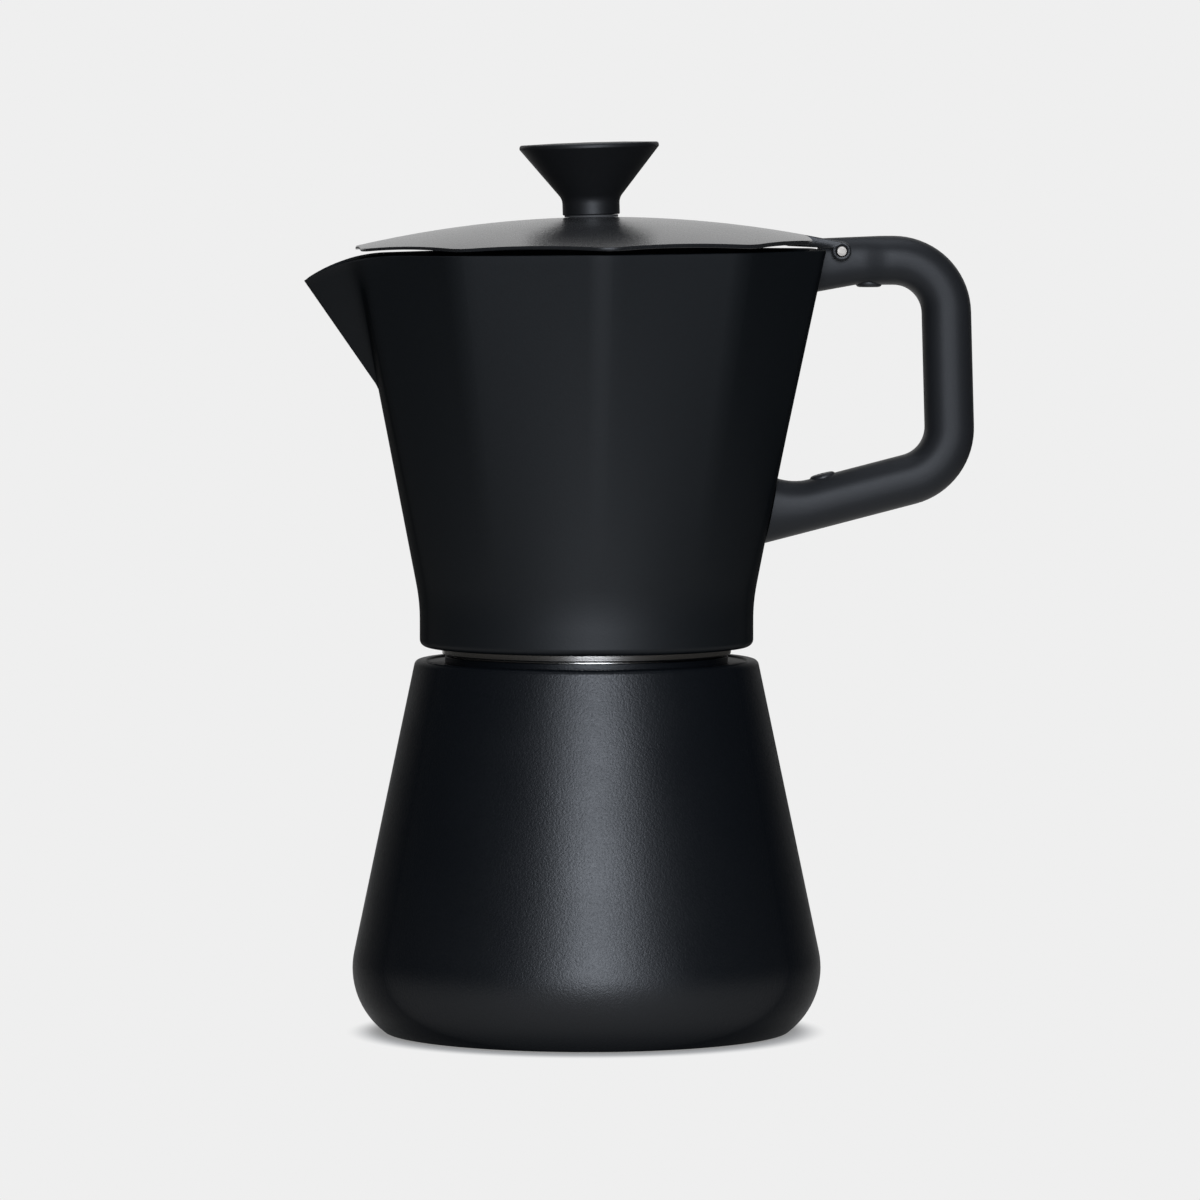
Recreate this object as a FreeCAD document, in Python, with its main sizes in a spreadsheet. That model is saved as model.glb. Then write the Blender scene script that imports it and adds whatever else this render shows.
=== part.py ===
# A stove-top moka pot: boiler, funnel and faceted collector, with handle, lid and knob.
# Millimetres. The origin is the centre of the base, +Z is up, the handle points along +X
# and the pouring beak along -X. The pieces stand as on a closed pot, screwed together.
import FreeCAD, Part
import math
import os
import re
from collections import namedtuple

import Sketcher
from FreeCAD import Placement, Rotation, Vector

# Driving dimensions, in millimetres and degrees.
SIZES = {
    # boiler
    "boiler_height": 83.65,
    "boiler_wall": 1.2,
    "boiler_lean": 11.87,
    "belly_radius": 54.48,
    "belly_height": 7.24,
    "belly_rounding": 17.6,
    "foot_lean": 38.0,
    "foot_clearance": 0.3,
    "shoulder_rounding": 1.3,
    "boiler_floor_rounding": 11.0,
    "foot_width": 1.55,
    "disc_thickness": 2.8,
    "disc_edge": 0.5,
    "neck_radius": 30.6,
    "neck_wall": 1.4,
    "neck_height": 7.15,
    "neck_edge": 0.4,
    # safety valve, along its own axis from the seat on the boiler wall
    "valve_height": 46.0,
    "valve_seat_radius": 8.6,
    "valve_seat_proud": 0.4,
    "valve_seat_depth": 3.0,
    "valve_washer_radius": 7.6,
    "valve_washer_thickness": 1.0,
    "valve_hex": 12.0,
    "valve_hex_height": 3.5,
    "valve_barrel_radius": 4.8,
    "valve_barrel_height": 6.0,
    "valve_edge": 0.5,
    "valve_thread_radius": 4.9,
    "valve_thread_length": 7.6,
    "valve_bore_radius": 3.4,
    "valve_bore_depth": 12.6,
    "valve_inlet_radius": 1.6,
    "valve_nut_hex": 13.0,
    "valve_nut_height": 2.8,
    "valve_cap_thickness": 1.0,
    "valve_cap_depth": 0.6,
    "valve_rod_radius": 1.0,
    "valve_rod_clearance": 0.3,
    "valve_rod_proud": 1.6,
    "valve_plug_radius": 2.9,
    "valve_plug_thickness": 1.4,
    "spring_wire": 0.5,
    "spring_turns": 6.0,
    # funnel
    "funnel_sheet": 0.6,
    "funnel_rim_set_in": 0.4,
    "funnel_rim_thickness": 0.8,
    "basket_gap": 0.7,
    "basket_depth": 24.0,
    "basket_rounding": 1.2,
    "ledge_width": 1.5,
    "funnel_cone_height": 10.0,
    "socket_height": 7.0,
    "tube_radius": 5.0,
    "tube_wall": 0.5,
    "tube_foot_gap": 6.0,
    "strainer_thickness": 0.6,
    "strainer_hole": 0.75,
    # seal
    "gasket_gap": 0.45,
    "gasket_width": 5.9,
    "gasket_thickness": 2.8,
    "gasket_edge": 0.6,
    "plate_set_in": 2.9,
    "plate_thickness": 0.6,
    "plate_hole": 0.75,
    # collector
    "collector_gap": 3.0,
    "collector_height": 88.35,
    "collector_wall": 1.0,
    "collector_foot_width": 4.95,
    "collector_base_rounding": 1.6,
    "skirt_height": 9.95,
    "skirt_rounding": 42.0,
    "facet_start": 14.45,
    "rim_apothem": 52.4,
    "rim_corner": 11.0,
    "collar_wall": 1.45,
    "collar_drop": 1.7,
    "collar_edge": 0.4,
    "thread_clearance": 0.35,
    "floor_sheet": 1.0,
    "floor_seat_width": 12.0,
    "floor_rise": 9.0,
    "column_radius": 6.4,
    "column_top_radius": 5.2,
    "column_bore": 3.7,
    "column_height": 54.0,
    "column_cap": 3.0,
    "outlet_height": 8.0,
    "outlet_width": 4.6,
    # pouring beak
    "spout_proud": 10.9,
    "spout_tip_drop": 6.45,
    "spout_depth": 30.8,
    "spout_half_width": 16.9,
    "spout_ridge": 2.0,
    "spout_root_half_width": 0.8,
    "spout_root_set_in": 0.6,
    "lip_run": 20.3,
    # lid
    "lid_inset": 0.1,
    "lid_set_back": 1.2,
    "lid_rear_cut": 4.8,
    "lid_sheet": 0.9,
    "lid_rise": 6.2,
    "lid_clearance": 0.2,
    "lid_tilt": 0.8,
    "lid_corner": 10.0,
    "knob_washer_radius": 6.0,
    "knob_washer_thickness": 0.5,
    "knob_neck_radius": 6.4,
    "knob_neck_height": 3.6,
    "knob_neck_rounding": 3.0,
    "knob_radius": 15.6,
    "knob_height": 16.2,
    "knob_edge": 0.6,
    "knob_edge_height": 0.95,
    "knob_screw_radius": 2.0,
    "knob_screw_depth": 9.0,
    "knob_screw_head_radius": 3.6,
    "knob_screw_head_height": 2.0,
    # hinge
    "hinge_offset": 4.35,
    "hinge_rise": 0.1,
    "pin_radius": 1.15,
    "pin_proud": 0.2,
    "pin_clearance": 0.05,
    "ear_radius": 2.15,
    "ear_thickness": 1.4,
    "ear_clearance": 0.35,
    "lug_width": 9.4,
    "notch_length": 3.9,
    "strap_length": 8.0,
    "strap_rise": 1.35,
    # handle
    "handle_thickness": 11.0,
    "handle_width": 12.8,
    "handle_rounding": 4.2,
    "handle_drop": 2.0,
    "handle_run": 28.25,
    "handle_lower_run": 29.55,
    "handle_span": 46.6,
    "handle_bend": 12.0,
    "handle_arm_lean": 14.4,
    "handle_clearance": 0.25,
    "handle_flare": 1.45,
    "handle_lower_flare": 2.4,
    "handle_flare_length": 8.0,
    "crown_drop": 0.8,
    "crown_run": 13.6,
    "bracket_width": 7.0,
    "bracket_thickness": 2.6,
    "bracket_offset": 1.9,
    "bracket_clearance": 0.2,
    "bracket_overhang": 4.0,
    "upper_screw_run": 11.05,
    "lower_screw_run": 28.4,
    "screw_shank_radius": 1.7,
    "screw_length": 4.2,
    "screw_head_radius": 3.0,
    "screw_head_height": 1.8,
    "screw_head_proud": 0.5,
    # fits
    "fit": 0.05,
}
FACETS = 10
HALF_FACET = 180 / FACETS
HOLE_RING_COUNT = 3
RING_HOLE_COUNT = 6

# Heights and radii that several pieces share, as formulas of the driving dimensions.
FLOOR_TOP = "(disc_thickness + boiler_wall)"
WALL_SKEW = "(boiler_wall / cos(boiler_lean * 1 deg))"
FOOT_EDGE = "((belly_height - foot_clearance) / sin(foot_lean * 1 deg))"
FOOT_RADIUS = f"(belly_radius - {FOOT_EDGE} * cos(foot_lean * 1 deg))"
DISC_RADIUS = f"({FOOT_RADIUS} - foot_width - fit)"
BELLY_ROUNDING = f"min(belly_rounding; {FOOT_EDGE} / tan((90 + boiler_lean - foot_lean) / 2 * 1 deg))"
NECK_TOP = "(boiler_height + neck_height)"
FUNNEL_TOP = f"({NECK_TOP} + funnel_rim_thickness)"
GASKET_TOP = f"({FUNNEL_TOP} + gasket_thickness)"
SEAT = f"({GASKET_TOP} + plate_thickness)"
BASKET_FLOOR = f"({FUNNEL_TOP} - basket_depth)"
CONE_FOOT = f"({BASKET_FLOOR} - funnel_cone_height)"
BASKET_RADIUS = "(neck_radius - neck_wall - basket_gap)"
COLLAR_BORE = "(neck_radius + thread_clearance)"
COLLAR_RADIUS = f"({COLLAR_BORE} + collar_wall)"
GASKET_RADIUS = f"({COLLAR_BORE} - gasket_gap)"
COLLECTOR_BASE = "(boiler_height + collector_gap)"
COLLECTOR_RADIUS = f"({COLLAR_RADIUS} + fit + collector_foot_width)"
RIM = f"({COLLECTOR_BASE} + collector_height)"
FLARE = f"((rim_apothem - {COLLECTOR_RADIUS}) / (collector_height - skirt_height))"
SKIRT_ROUNDING = f"min(skirt_rounding; (facet_start - skirt_height) / tan(atan({FLARE}) / 2))"
FACET_Z = f"({COLLECTOR_BASE} + facet_start)"
FACET_RADIUS = f"({COLLECTOR_RADIUS} + (facet_start - skirt_height) * {FLARE})"
COLUMN_FOOT = f"({SEAT} + floor_sheet + floor_rise)"
HINGE_X = "(rim_apothem + hinge_offset)"
HINGE_Z = f"({RIM} + hinge_rise)"
LID_APOTHEM = "(rim_apothem - lid_inset)"
LID_REAR = f"({LID_APOTHEM} - lid_rear_cut)"
LID_CORNER_RADIUS = f"({LID_APOTHEM} / cos({HALF_FACET} deg))"
LID_FRONT = f"({LID_CORNER_RADIUS} * sin({2 * HALF_FACET} deg))"
HINGE_IN_LID = f"({HINGE_X} - lid_set_back)"
LID_EDGE = f"({RIM} + lid_clearance + ({HINGE_IN_LID} + {LID_FRONT}) * sin(lid_tilt * 1 deg))"
LID_APEX = f"({LID_EDGE} + lid_sheet + lid_rise)"
LID_DOME = f"(({LID_CORNER_RADIUS} ^ 2 + lid_rise ^ 2) / (2 * lid_rise))"
KNOB_BASE = f"({LID_APEX} + knob_washer_thickness)"
HANDLE_REACH = "(rim_apothem + handle_run)"
LOWER_REACH = "(rim_apothem + handle_lower_run)"
ARM_Z = f"({RIM} - handle_drop)"
ARM_TOP = f"({ARM_Z} + handle_thickness / 2)"
CROWN_START = "(rim_apothem + handle_clearance)"
CROWN_LOW = f"({ARM_TOP} - crown_drop)"
LOWER_BEND_Z = f"({ARM_Z} - handle_span)"
EAR_INNER = "(lug_width / 2 + ear_clearance)"
EAR_OUTER = f"({EAR_INNER} + ear_thickness)"
WALL_AT_ROOT = f"({COLLECTOR_RADIUS} + (collector_height - spout_depth - skirt_height) * {FLARE})"
ROOT_REACH = f"({WALL_AT_ROOT} - spout_root_set_in)"
SPOUT_REACH = "(rim_apothem + spout_proud)"
RIDGE_SLOPE = f"(({SPOUT_REACH} - {ROOT_REACH}) / (spout_depth - spout_tip_drop))"
BEAK_REACH = f"({SPOUT_REACH} + spout_tip_drop * {RIDGE_SLOPE})"
LIP_START = f"({SPOUT_REACH} - lip_run)"

Corner = namedtuple("Corner", "across up fillet bow", defaults=(None, None))

doc = FreeCAD.newDocument("moka_pot")
sheet = doc.addObject("Spreadsheet::Sheet", "dims")
for row, (alias, size) in enumerate(SIZES.items(), start=1):
    sheet.set(f"A{row}", alias.replace("_", " "))
    sheet.set(f"B{row}", str(size))
    sheet.setAlias(f"B{row}", alias)
doc.recompute()

ALIAS = re.compile(r"\b(" + "|".join(SIZES) + r")\b")
pieces = []


def bound(formula):
    """Return the formula with each size read from the sheet."""
    return ALIAS.sub(r"dims.\1", formula)


def value(formula):
    """Return the number that a formula has with the sheet's sizes."""
    return float(sheet.evalExpression(bound(formula)))


def tie(thing, path, formula):
    """Bind one property of an object to a formula of the sheet's sizes."""
    thing.setExpression(path, bound(formula))


def new_piece(label):
    """Start the body of one piece, whose label names its file."""
    body = doc.addObject("PartDesign::Body", label)
    body.Label = label
    pieces.append(body)
    return body


def new_sketch(body, name, plane="XY_Plane", lift="0"):
    """Attach a sketch to one of the body's own planes, raised along the plane's normal."""
    sketch = body.newObject("Sketcher::SketchObject", name)
    origin = [part for part in body.Origin.OriginFeatures if part.Role == plane]
    sketch.AttachmentSupport = [(origin[0], "")]
    sketch.MapMode = "FlatFace"
    tie(sketch, "AttachmentOffset.Base.z", lift)
    return sketch


def turn_sketch(sketch, axis, angle, base):
    """Turn a sketch about an axis of its plane and move it to a point of that plane."""
    sketch.AttachmentOffset = Placement(Vector(), Rotation(axis, 1))
    tie(sketch, "AttachmentOffset.Rotation.Angle", f"({angle}) * 1 deg")
    for letter, formula in zip("xyz", base):
        tie(sketch, f"AttachmentOffset.Base.{letter}", formula)


def hold(sketch, constraint, formula):
    """Add a measured constraint and bind it to a formula."""
    index = sketch.addConstraint(constraint)
    tie(sketch, f"Constraints[{index}]", formula)


def pin_point(sketch, geometry, position, across, up):
    """Hold a point of the sketch at two formulas, or on an axis where one is zero."""
    if across == "0":
        sketch.addConstraint(Sketcher.Constraint("PointOnObject", geometry, position, -2))
    else:
        distance = Sketcher.Constraint("DistanceX", -1, 1, geometry, position, value(across))
        hold(sketch, distance, across)
    if up == "0":
        sketch.addConstraint(Sketcher.Constraint("PointOnObject", geometry, position, -1))
    else:
        distance = Sketcher.Constraint("DistanceY", -1, 1, geometry, position, value(up))
        hold(sketch, distance, up)


def draw_circle(sketch, across, up, radius):
    """Draw a circle whose centre and radius follow the sheet."""
    centre = Vector(value(across), value(up), 0)
    circle = sketch.addGeometry(Part.Circle(centre, Vector(0, 0, 1), value(radius)), False)
    pin_point(sketch, circle, 3, across, up)
    hold(sketch, Sketcher.Constraint("Radius", circle, value(radius)), radius)


def arc_between(centre, start, end):
    """Return the arc about a centre, counter-clockwise from start to end."""
    first = math.atan2(start.y - centre.y, start.x - centre.x)
    last = math.atan2(end.y - centre.y, end.x - centre.x)
    if last < first:
        last += 2 * math.pi
    circle = Part.Circle(centre, Vector(0, 0, 1), (start - centre).Length)
    return Part.ArcOfCircle(circle, first, last)


def fillet_points(before, at, after, radius):
    """Return where a corner's fillet starts and ends, its centre, and whether it turns left."""
    back = (before - at).normalize()
    ahead = (after - at).normalize()
    half = back.getAngle(ahead) / 2
    reach = radius / math.tan(half)
    centre = at + (back + ahead).normalize() * (radius / math.sin(half))
    return at + back * reach, at + ahead * reach, centre, back.cross(ahead).z < 0


def draw_outline(sketch, corners, closed=True):
    """Draw straight or bowed edges from corner to corner, with a tangent arc at each fillet.

    Every corner is a point tied to the sheet, so the outline follows any change of size.
    A bow is the radius of the edge that leaves the corner, with its centre on the left.
    """
    count = len(corners)
    points = [Vector(value(c.across), value(c.up), 0) for c in corners]
    marks = []
    for corner, point in zip(corners, points):
        mark = sketch.addGeometry(Part.Point(point), True)
        pin_point(sketch, mark, 1, corner.across, corner.up)
        marks.append(mark)
    bends = {}
    for index, corner in enumerate(corners):
        if corner.fillet:
            ends = (points[index - 1], points[index], points[(index + 1) % count])
            bends[index] = fillet_points(*ends, value(corner.fillet))
    edges = []
    for index in range(count if closed else count - 1):
        following = (index + 1) % count
        start = bends[index][1] if index in bends else points[index]
        end = bends[following][0] if following in bends else points[following]
        if corners[index].bow:
            edges.append(draw_bow(sketch, start, end, corners[index].bow))
        else:
            edges.append((sketch.addGeometry(Part.LineSegment(start, end), False), 1, 2))
        for vertex, side in ((index, 1), (following, 2)):
            geometry = edges[-1][0]
            if vertex in bends:
                on_edge = Sketcher.Constraint("PointOnObject", marks[vertex], 1, geometry)
                sketch.addConstraint(on_edge)
            else:
                same = Sketcher.Constraint("Coincident", geometry, edges[-1][side], marks[vertex], 1)
                sketch.addConstraint(same)
    for index, (start, end, centre, left) in bends.items():
        arc = sketch.addGeometry(arc_between(centre, *((start, end) if left else (end, start))), False)
        first, last = (1, 2) if left else (2, 1)
        sketch.addConstraint(Sketcher.Constraint("Tangent", edges[index - 1][0], 2, arc, first))
        sketch.addConstraint(Sketcher.Constraint("Tangent", arc, last, edges[index][0], 1))
        radius = corners[index].fillet
        hold(sketch, Sketcher.Constraint("Radius", arc, value(radius)), radius)


def draw_bow(sketch, start, end, bow):
    """Draw one bowed edge and return its geometry with its first and last point."""
    chord = end - start
    left = Vector(-chord.y, chord.x, 0).normalize()
    radius = abs(value(bow))
    rise = math.sqrt(radius ** 2 - (chord.Length / 2) ** 2)
    turns_left = value(bow) > 0
    centre = start + chord * 0.5 + left * (rise if turns_left else -rise)
    ends = (start, end) if turns_left else (end, start)
    arc = sketch.addGeometry(arc_between(centre, *ends), False)
    hold(sketch, Sketcher.Constraint("Radius", arc, radius), bow if turns_left else f"-({bow})")
    return (arc, 1, 2) if turns_left else (arc, 2, 1)


def box_corners(left, right, low, high):
    """Return the four corners of an upright rectangle."""
    return [Corner(left, low), Corner(right, low), Corner(right, high), Corner(left, high)]


def feature(body, kind, name, sketch):
    """Add a sketched feature to a body."""
    made = body.newObject(f"PartDesign::{kind}", name)
    made.Profile = sketch
    sketch.Visibility = False
    return made


def turn(body, name, corners, kind="Revolution"):
    """Revolve an outline of the upright plane about the body's own Z axis."""
    sketch = new_sketch(body, f"{name}_profile", "XZ_Plane")
    draw_outline(sketch, corners)
    made = feature(body, kind, name, sketch)
    made.ReferenceAxis = (sketch, ["V_Axis"])
    return made


def thicken(body, name, sketch, length, kind="Pad", symmetric=False, reverse=False):
    """Pad or pocket a sketch by a length that follows the sheet."""
    made = feature(body, kind, name, sketch)
    made.SideType = "Symmetric" if symmetric else "One side"
    made.Reversed = reverse
    tie(made, "Length", length)
    return made


def side_cut(body, name, corners, width):
    """Cut an outline of the upright plane out of a body, evenly to both sides of it."""
    sketch = new_sketch(body, f"{name}_outline", "XZ_Plane")
    draw_outline(sketch, corners)
    thicken(body, name, sketch, width, "Pocket", symmetric=True)


def side_round(body, name, across, up, radius, width):
    """Bore a hole across the pot, evenly to both sides of the upright plane."""
    sketch = new_sketch(body, f"{name}_circle", "XZ_Plane")
    draw_circle(sketch, across, up, radius)
    thicken(body, name, sketch, width, "Pocket", symmetric=True)


def both_sides(body, name, face, depth, draw, kind="Pad"):
    """Add or cut one drawing on both sides of the upright plane, from a face outwards."""
    for side, lift in (("near", face), ("far", f"-({face})")):
        sketch = new_sketch(body, f"{name}_{side}_outline", "XZ_Plane", lift)
        draw(sketch)
        against_normal = (side == "far") == (kind == "Pad")
        thicken(body, f"{name}_{side}", sketch, depth, kind, reverse=against_normal)


def loft(body, name, sections, kind="AdditiveLoft"):
    """Loft straight between two sections."""
    made = feature(body, kind, name, sections[0])
    made.Sections = [(section, [""]) for section in sections[1:]]
    made.Ruled = True
    for section in sections:
        section.Visibility = False
    return made


def polar_holes(body, name, lift, radius, reach, depth):
    """Drill rings of small holes through a disc, and one at its centre."""
    centre = new_sketch(body, f"{name}_centre", lift=lift)
    draw_circle(centre, "0", "0", radius)
    thicken(body, f"{name}_middle", centre, depth, "Pocket", symmetric=True)
    for ring_number in range(1, HOLE_RING_COUNT + 1):
        count = RING_HOLE_COUNT * ring_number
        sketch = new_sketch(body, f"{name}_{count}_circle", lift=lift)
        draw_circle(sketch, f"{reach} * {ring_number} / {HOLE_RING_COUNT + 1}", "0", radius)
        hole = thicken(body, f"{name}_{count}", sketch, depth, "Pocket", symmetric=True)
        ring = body.newObject("PartDesign::PolarPattern", f"{name}_{count}_ring")
        ring.Originals = [hole]
        ring.Axis = (sketch, ["N_Axis"])
        ring.Angle = 360
        ring.Occurrences = count
        body.Tip = ring


def hexagon(across_flats):
    """Return the corners of a hexagon, with flats facing along the second direction."""
    radius = f"({across_flats} / 2 / cos(30 deg))"
    spokes = range(0, 360, 60)
    return [Corner(f"{radius} * cos({a} deg)", f"{radius} * sin({a} deg)" if a % 180 else "0")
            for a in spokes]


def rounded_decagon(sketch, apothem, corner, rear=None):
    """Draw the faceted outline, with a flat facing the beak and one facing the handle.

    The flat that faces the handle can lie nearer to the axis than the others.
    """
    radius = f"({apothem} / cos({HALF_FACET} deg))"
    angles = [HALF_FACET * (2 * step + 1) for step in range(FACETS)]
    corners = []
    for angle in angles:
        across = "0" if math.isclose(angle % 180, 90) else f"{radius} * cos({angle} deg)"
        corners.append(Corner(across, f"{radius} * sin({angle} deg)", corner))
    if rear:
        half = f"({apothem} - {rear} * cos({2 * HALF_FACET} deg)) / sin({2 * HALF_FACET} deg)"
        corners[0] = Corner(rear, half, corner)
        corners[-1] = Corner(rear, f"-{half}", corner)
    draw_outline(sketch, corners)


def split_circle(sketch, radius):
    """Draw a circle in arcs that match the flats and corners of the faceted rim."""
    spread = math.atan(value(f"(rim_apothem - rim_corner) * tan({HALF_FACET} deg) / rim_apothem"))
    spread = math.degrees(spread)
    stops = []
    for step in range(FACETS):
        middle = 2 * HALF_FACET * (step + 1)
        stops += [middle - spread, middle + spread]
    size = value(radius)
    ends = [Vector(size * math.cos(math.radians(a)), size * math.sin(math.radians(a)), 0) for a in stops]
    arcs = []
    for start, end in zip(ends, ends[1:] + ends[:1]):
        arcs.append(sketch.addGeometry(arc_between(Vector(), start, end), False))
    for arc in arcs[:-1]:
        sketch.addConstraint(Sketcher.Constraint("Coincident", arc, 3, -1, 1))
    sketch.addConstraint(Sketcher.Constraint("Equal", arcs[0], arcs[-1]))
    for index, arc in enumerate(arcs):
        sketch.addConstraint(Sketcher.Constraint("Coincident", arcs[index - 1], 2, arc, 1))
        angle = stops[index]
        if abs(math.sin(math.radians(angle))) > 0.5:
            place = f"{radius} * cos({angle} deg)"
            hold(sketch, Sketcher.Constraint("DistanceX", -1, 1, arc, 1, value(place)), place)
        else:
            place = f"{radius} * sin({angle} deg)"
            hold(sketch, Sketcher.Constraint("DistanceY", -1, 1, arc, 1, value(place)), place)
    hold(sketch, Sketcher.Constraint("Radius", arcs[0], size), radius)


def faceted_wall(body, name, inset, kind="AdditiveLoft"):
    """Loft the collector's wall from its round skirt to its ten-sided rim, moved in by an inset."""
    low = new_sketch(body, f"{name}_round", lift=FACET_Z)
    split_circle(low, f"({FACET_RADIUS} - ({inset}))")
    high = new_sketch(body, f"{name}_faceted", lift=RIM)
    rounded_decagon(high, f"(rim_apothem - ({inset}))", f"(rim_corner - ({inset}))")
    return loft(body, name, [low, high], kind)


def beak(body, name, inset, kind="AdditiveLoft"):
    """Loft the pouring beak from its root on the wall up to the level of the rim."""
    slant = f"sqrt(1 + (({BEAK_REACH} - rim_apothem) / spout_half_width) ^ 2)"
    shift = f"(({inset}) * {slant})"
    levels = (
        (f"{RIM} - spout_depth", ROOT_REACH, ROOT_REACH, "spout_root_half_width", "spout_ridge / 10"),
        (RIM, BEAK_REACH, "rim_apothem", "spout_half_width", "spout_ridge"),
    )
    sections = []
    for step, (height, reach, wall, half_width, ridge) in enumerate(levels):
        sketch = new_sketch(body, f"{name}_section_{step}", lift=height)
        inside = f"-({wall} - 4 * collector_wall)"
        outside = f"-({wall} - collector_wall / 2 - {shift})"
        corners = [
            Corner(f"-({reach} + collector_wall / 2 - {shift})", "0", ridge),
            Corner(outside, f"-{half_width}"),
            Corner(inside, f"-{half_width}"),
            Corner(inside, half_width),
            Corner(outside, half_width),
        ]
        draw_outline(sketch, corners)
        sections.append(sketch)
    return loft(body, name, sections, kind)


def wall_reach(height):
    """Return the formula of the collector wall's distance from the axis at a height."""
    return f"({COLLECTOR_RADIUS} + ({height} - {COLLECTOR_BASE} - skirt_height) * {FLARE})"


def boiler_radius(height):
    """Return the formula of the boiler wall's outer radius at a height."""
    return f"(belly_radius - ({height} - belly_height) * tan(boiler_lean * 1 deg))"


# Boiler
def boiler_shell():
    """Make the water vessel, with a recess for its base disc and a flat seat for the valve."""
    body = new_piece("boiler_shell")
    inner_top = f"({boiler_radius('boiler_height - boiler_wall')} - {WALL_SKEW})"
    inner_foot = f"({boiler_radius(FLOOR_TOP)} - {WALL_SKEW})"
    recess = f"({DISC_RADIUS} + fit)"
    turn(body, "vessel", [
        Corner(recess, "foot_clearance"),
        Corner(FOOT_RADIUS, "foot_clearance"),
        Corner("belly_radius", "belly_height", BELLY_ROUNDING),
        Corner(boiler_radius("boiler_height"), "boiler_height", "shoulder_rounding"),
        Corner("neck_radius + fit", "boiler_height"),
        Corner("neck_radius + fit", "boiler_height - boiler_wall"),
        Corner(inner_top, "boiler_height - boiler_wall"),
        Corner(inner_foot, FLOOR_TOP, "boiler_floor_rounding"),
        Corner("0", FLOOR_TOP),
        Corner("0", "disc_thickness"),
        Corner(recess, "disc_thickness"),
    ])
    seat = new_sketch(body, "valve_seat_circle")
    turn_sketch(seat, Vector(-1, 0, 0), "90 - boiler_lean", valve_base())
    draw_circle(seat, "0", "0", "valve_seat_radius")
    thicken(body, "valve_seat", seat, "valve_seat_depth", reverse=True)
    hole = new_sketch(body, "valve_hole_circle")
    turn_sketch(hole, Vector(-1, 0, 0), "90 - boiler_lean", valve_base())
    draw_circle(hole, "0", "0", "valve_thread_radius + fit")
    thicken(body, "valve_hole", hole, "2 * valve_seat_depth", "Pocket")


def valve_base():
    """Return where the valve's axis meets the outer face of its seat, at the back of the boiler."""
    out = f"{boiler_radius('valve_height')} + valve_seat_proud * cos(boiler_lean * 1 deg)"
    return "0", out, "valve_height + valve_seat_proud * sin(boiler_lean * 1 deg)"


def boiler_neck():
    """Make the bare ring that carries the boiler's thread."""
    turn(new_piece("boiler_neck"), "ring", [
        Corner("neck_radius - neck_wall", "boiler_height - boiler_wall"),
        Corner("neck_radius", "boiler_height - boiler_wall"),
        Corner("neck_radius", NECK_TOP, "neck_edge"),
        Corner("neck_radius - neck_wall", NECK_TOP, "neck_edge"),
    ])


def base_disc():
    """Make the heat-spreading disc that the pot stands on."""
    turn(new_piece("base_disc"), "disc", [
        Corner("0", "0"),
        Corner(DISC_RADIUS, "0", "disc_edge"),
        Corner(DISC_RADIUS, "disc_thickness"),
        Corner("0", "disc_thickness"),
    ])


# Safety valve, upright along its own Z axis and then laid on the boiler's back
BARREL_TOP = "(valve_washer_thickness + valve_hex_height + valve_barrel_height)"
BORE_FOOT = f"({BARREL_TOP} - valve_bore_depth)"
CAP_LOW = f"({BARREL_TOP} - valve_cap_depth - valve_cap_thickness)"
PLUG_TOP = f"({BORE_FOOT} + valve_plug_thickness)"


def lay_on_boiler(body):
    """Turn a valve piece's axis square to the boiler wall and move it to its seat."""
    body.Placement = Placement(Vector(), Rotation(Vector(-1, 0, 0), 1))
    tie(body, "Placement.Rotation.Angle", "(90 - boiler_lean) * 1 deg")
    for letter, formula in zip("xyz", valve_base()):
        tie(body, f"Placement.Base.{letter}", formula)


def valve_body():
    """Make the valve's brass body: hexagon, barrel, thread and stepped bore."""
    body = new_piece("valve_body")
    turn(body, "core", [
        Corner("0", "-valve_thread_length"),
        Corner("valve_thread_radius", "-valve_thread_length", "valve_edge"),
        Corner("valve_thread_radius", "valve_washer_thickness"),
        Corner("valve_barrel_radius", "valve_washer_thickness"),
        Corner("valve_barrel_radius", BARREL_TOP, "valve_edge"),
        Corner("0", BARREL_TOP),
    ])
    nut = new_sketch(body, "hexagon_outline", lift="valve_washer_thickness")
    draw_outline(nut, hexagon("valve_hex"))
    thicken(body, "hexagon", nut, "valve_hex_height")
    turn(body, "bore", [
        Corner("0", "-valve_thread_length"),
        Corner("valve_inlet_radius", "-valve_thread_length"),
        Corner("valve_inlet_radius", BORE_FOOT),
        Corner("valve_bore_radius", BORE_FOOT),
        Corner("valve_bore_radius", BARREL_TOP),
        Corner("0", BARREL_TOP),
    ], "Groove")
    lay_on_boiler(body)


def valve_ring(label, inner, outer, low, high):
    """Make a plain ring on the valve's axis."""
    body = new_piece(label)
    turn(body, "ring", box_corners(inner, outer, low, high))
    lay_on_boiler(body)


def valve_nut():
    """Make the nut that holds the valve from inside the boiler."""
    body = new_piece("valve_nut")
    sketch = new_sketch(body, "hexagon_outline", lift="-(valve_seat_depth + valve_nut_height)")
    draw_outline(sketch, hexagon("valve_nut_hex"))
    draw_circle(sketch, "0", "0", "valve_thread_radius + fit")
    thicken(body, "hexagon", sketch, "valve_nut_height")
    lay_on_boiler(body)


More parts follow.
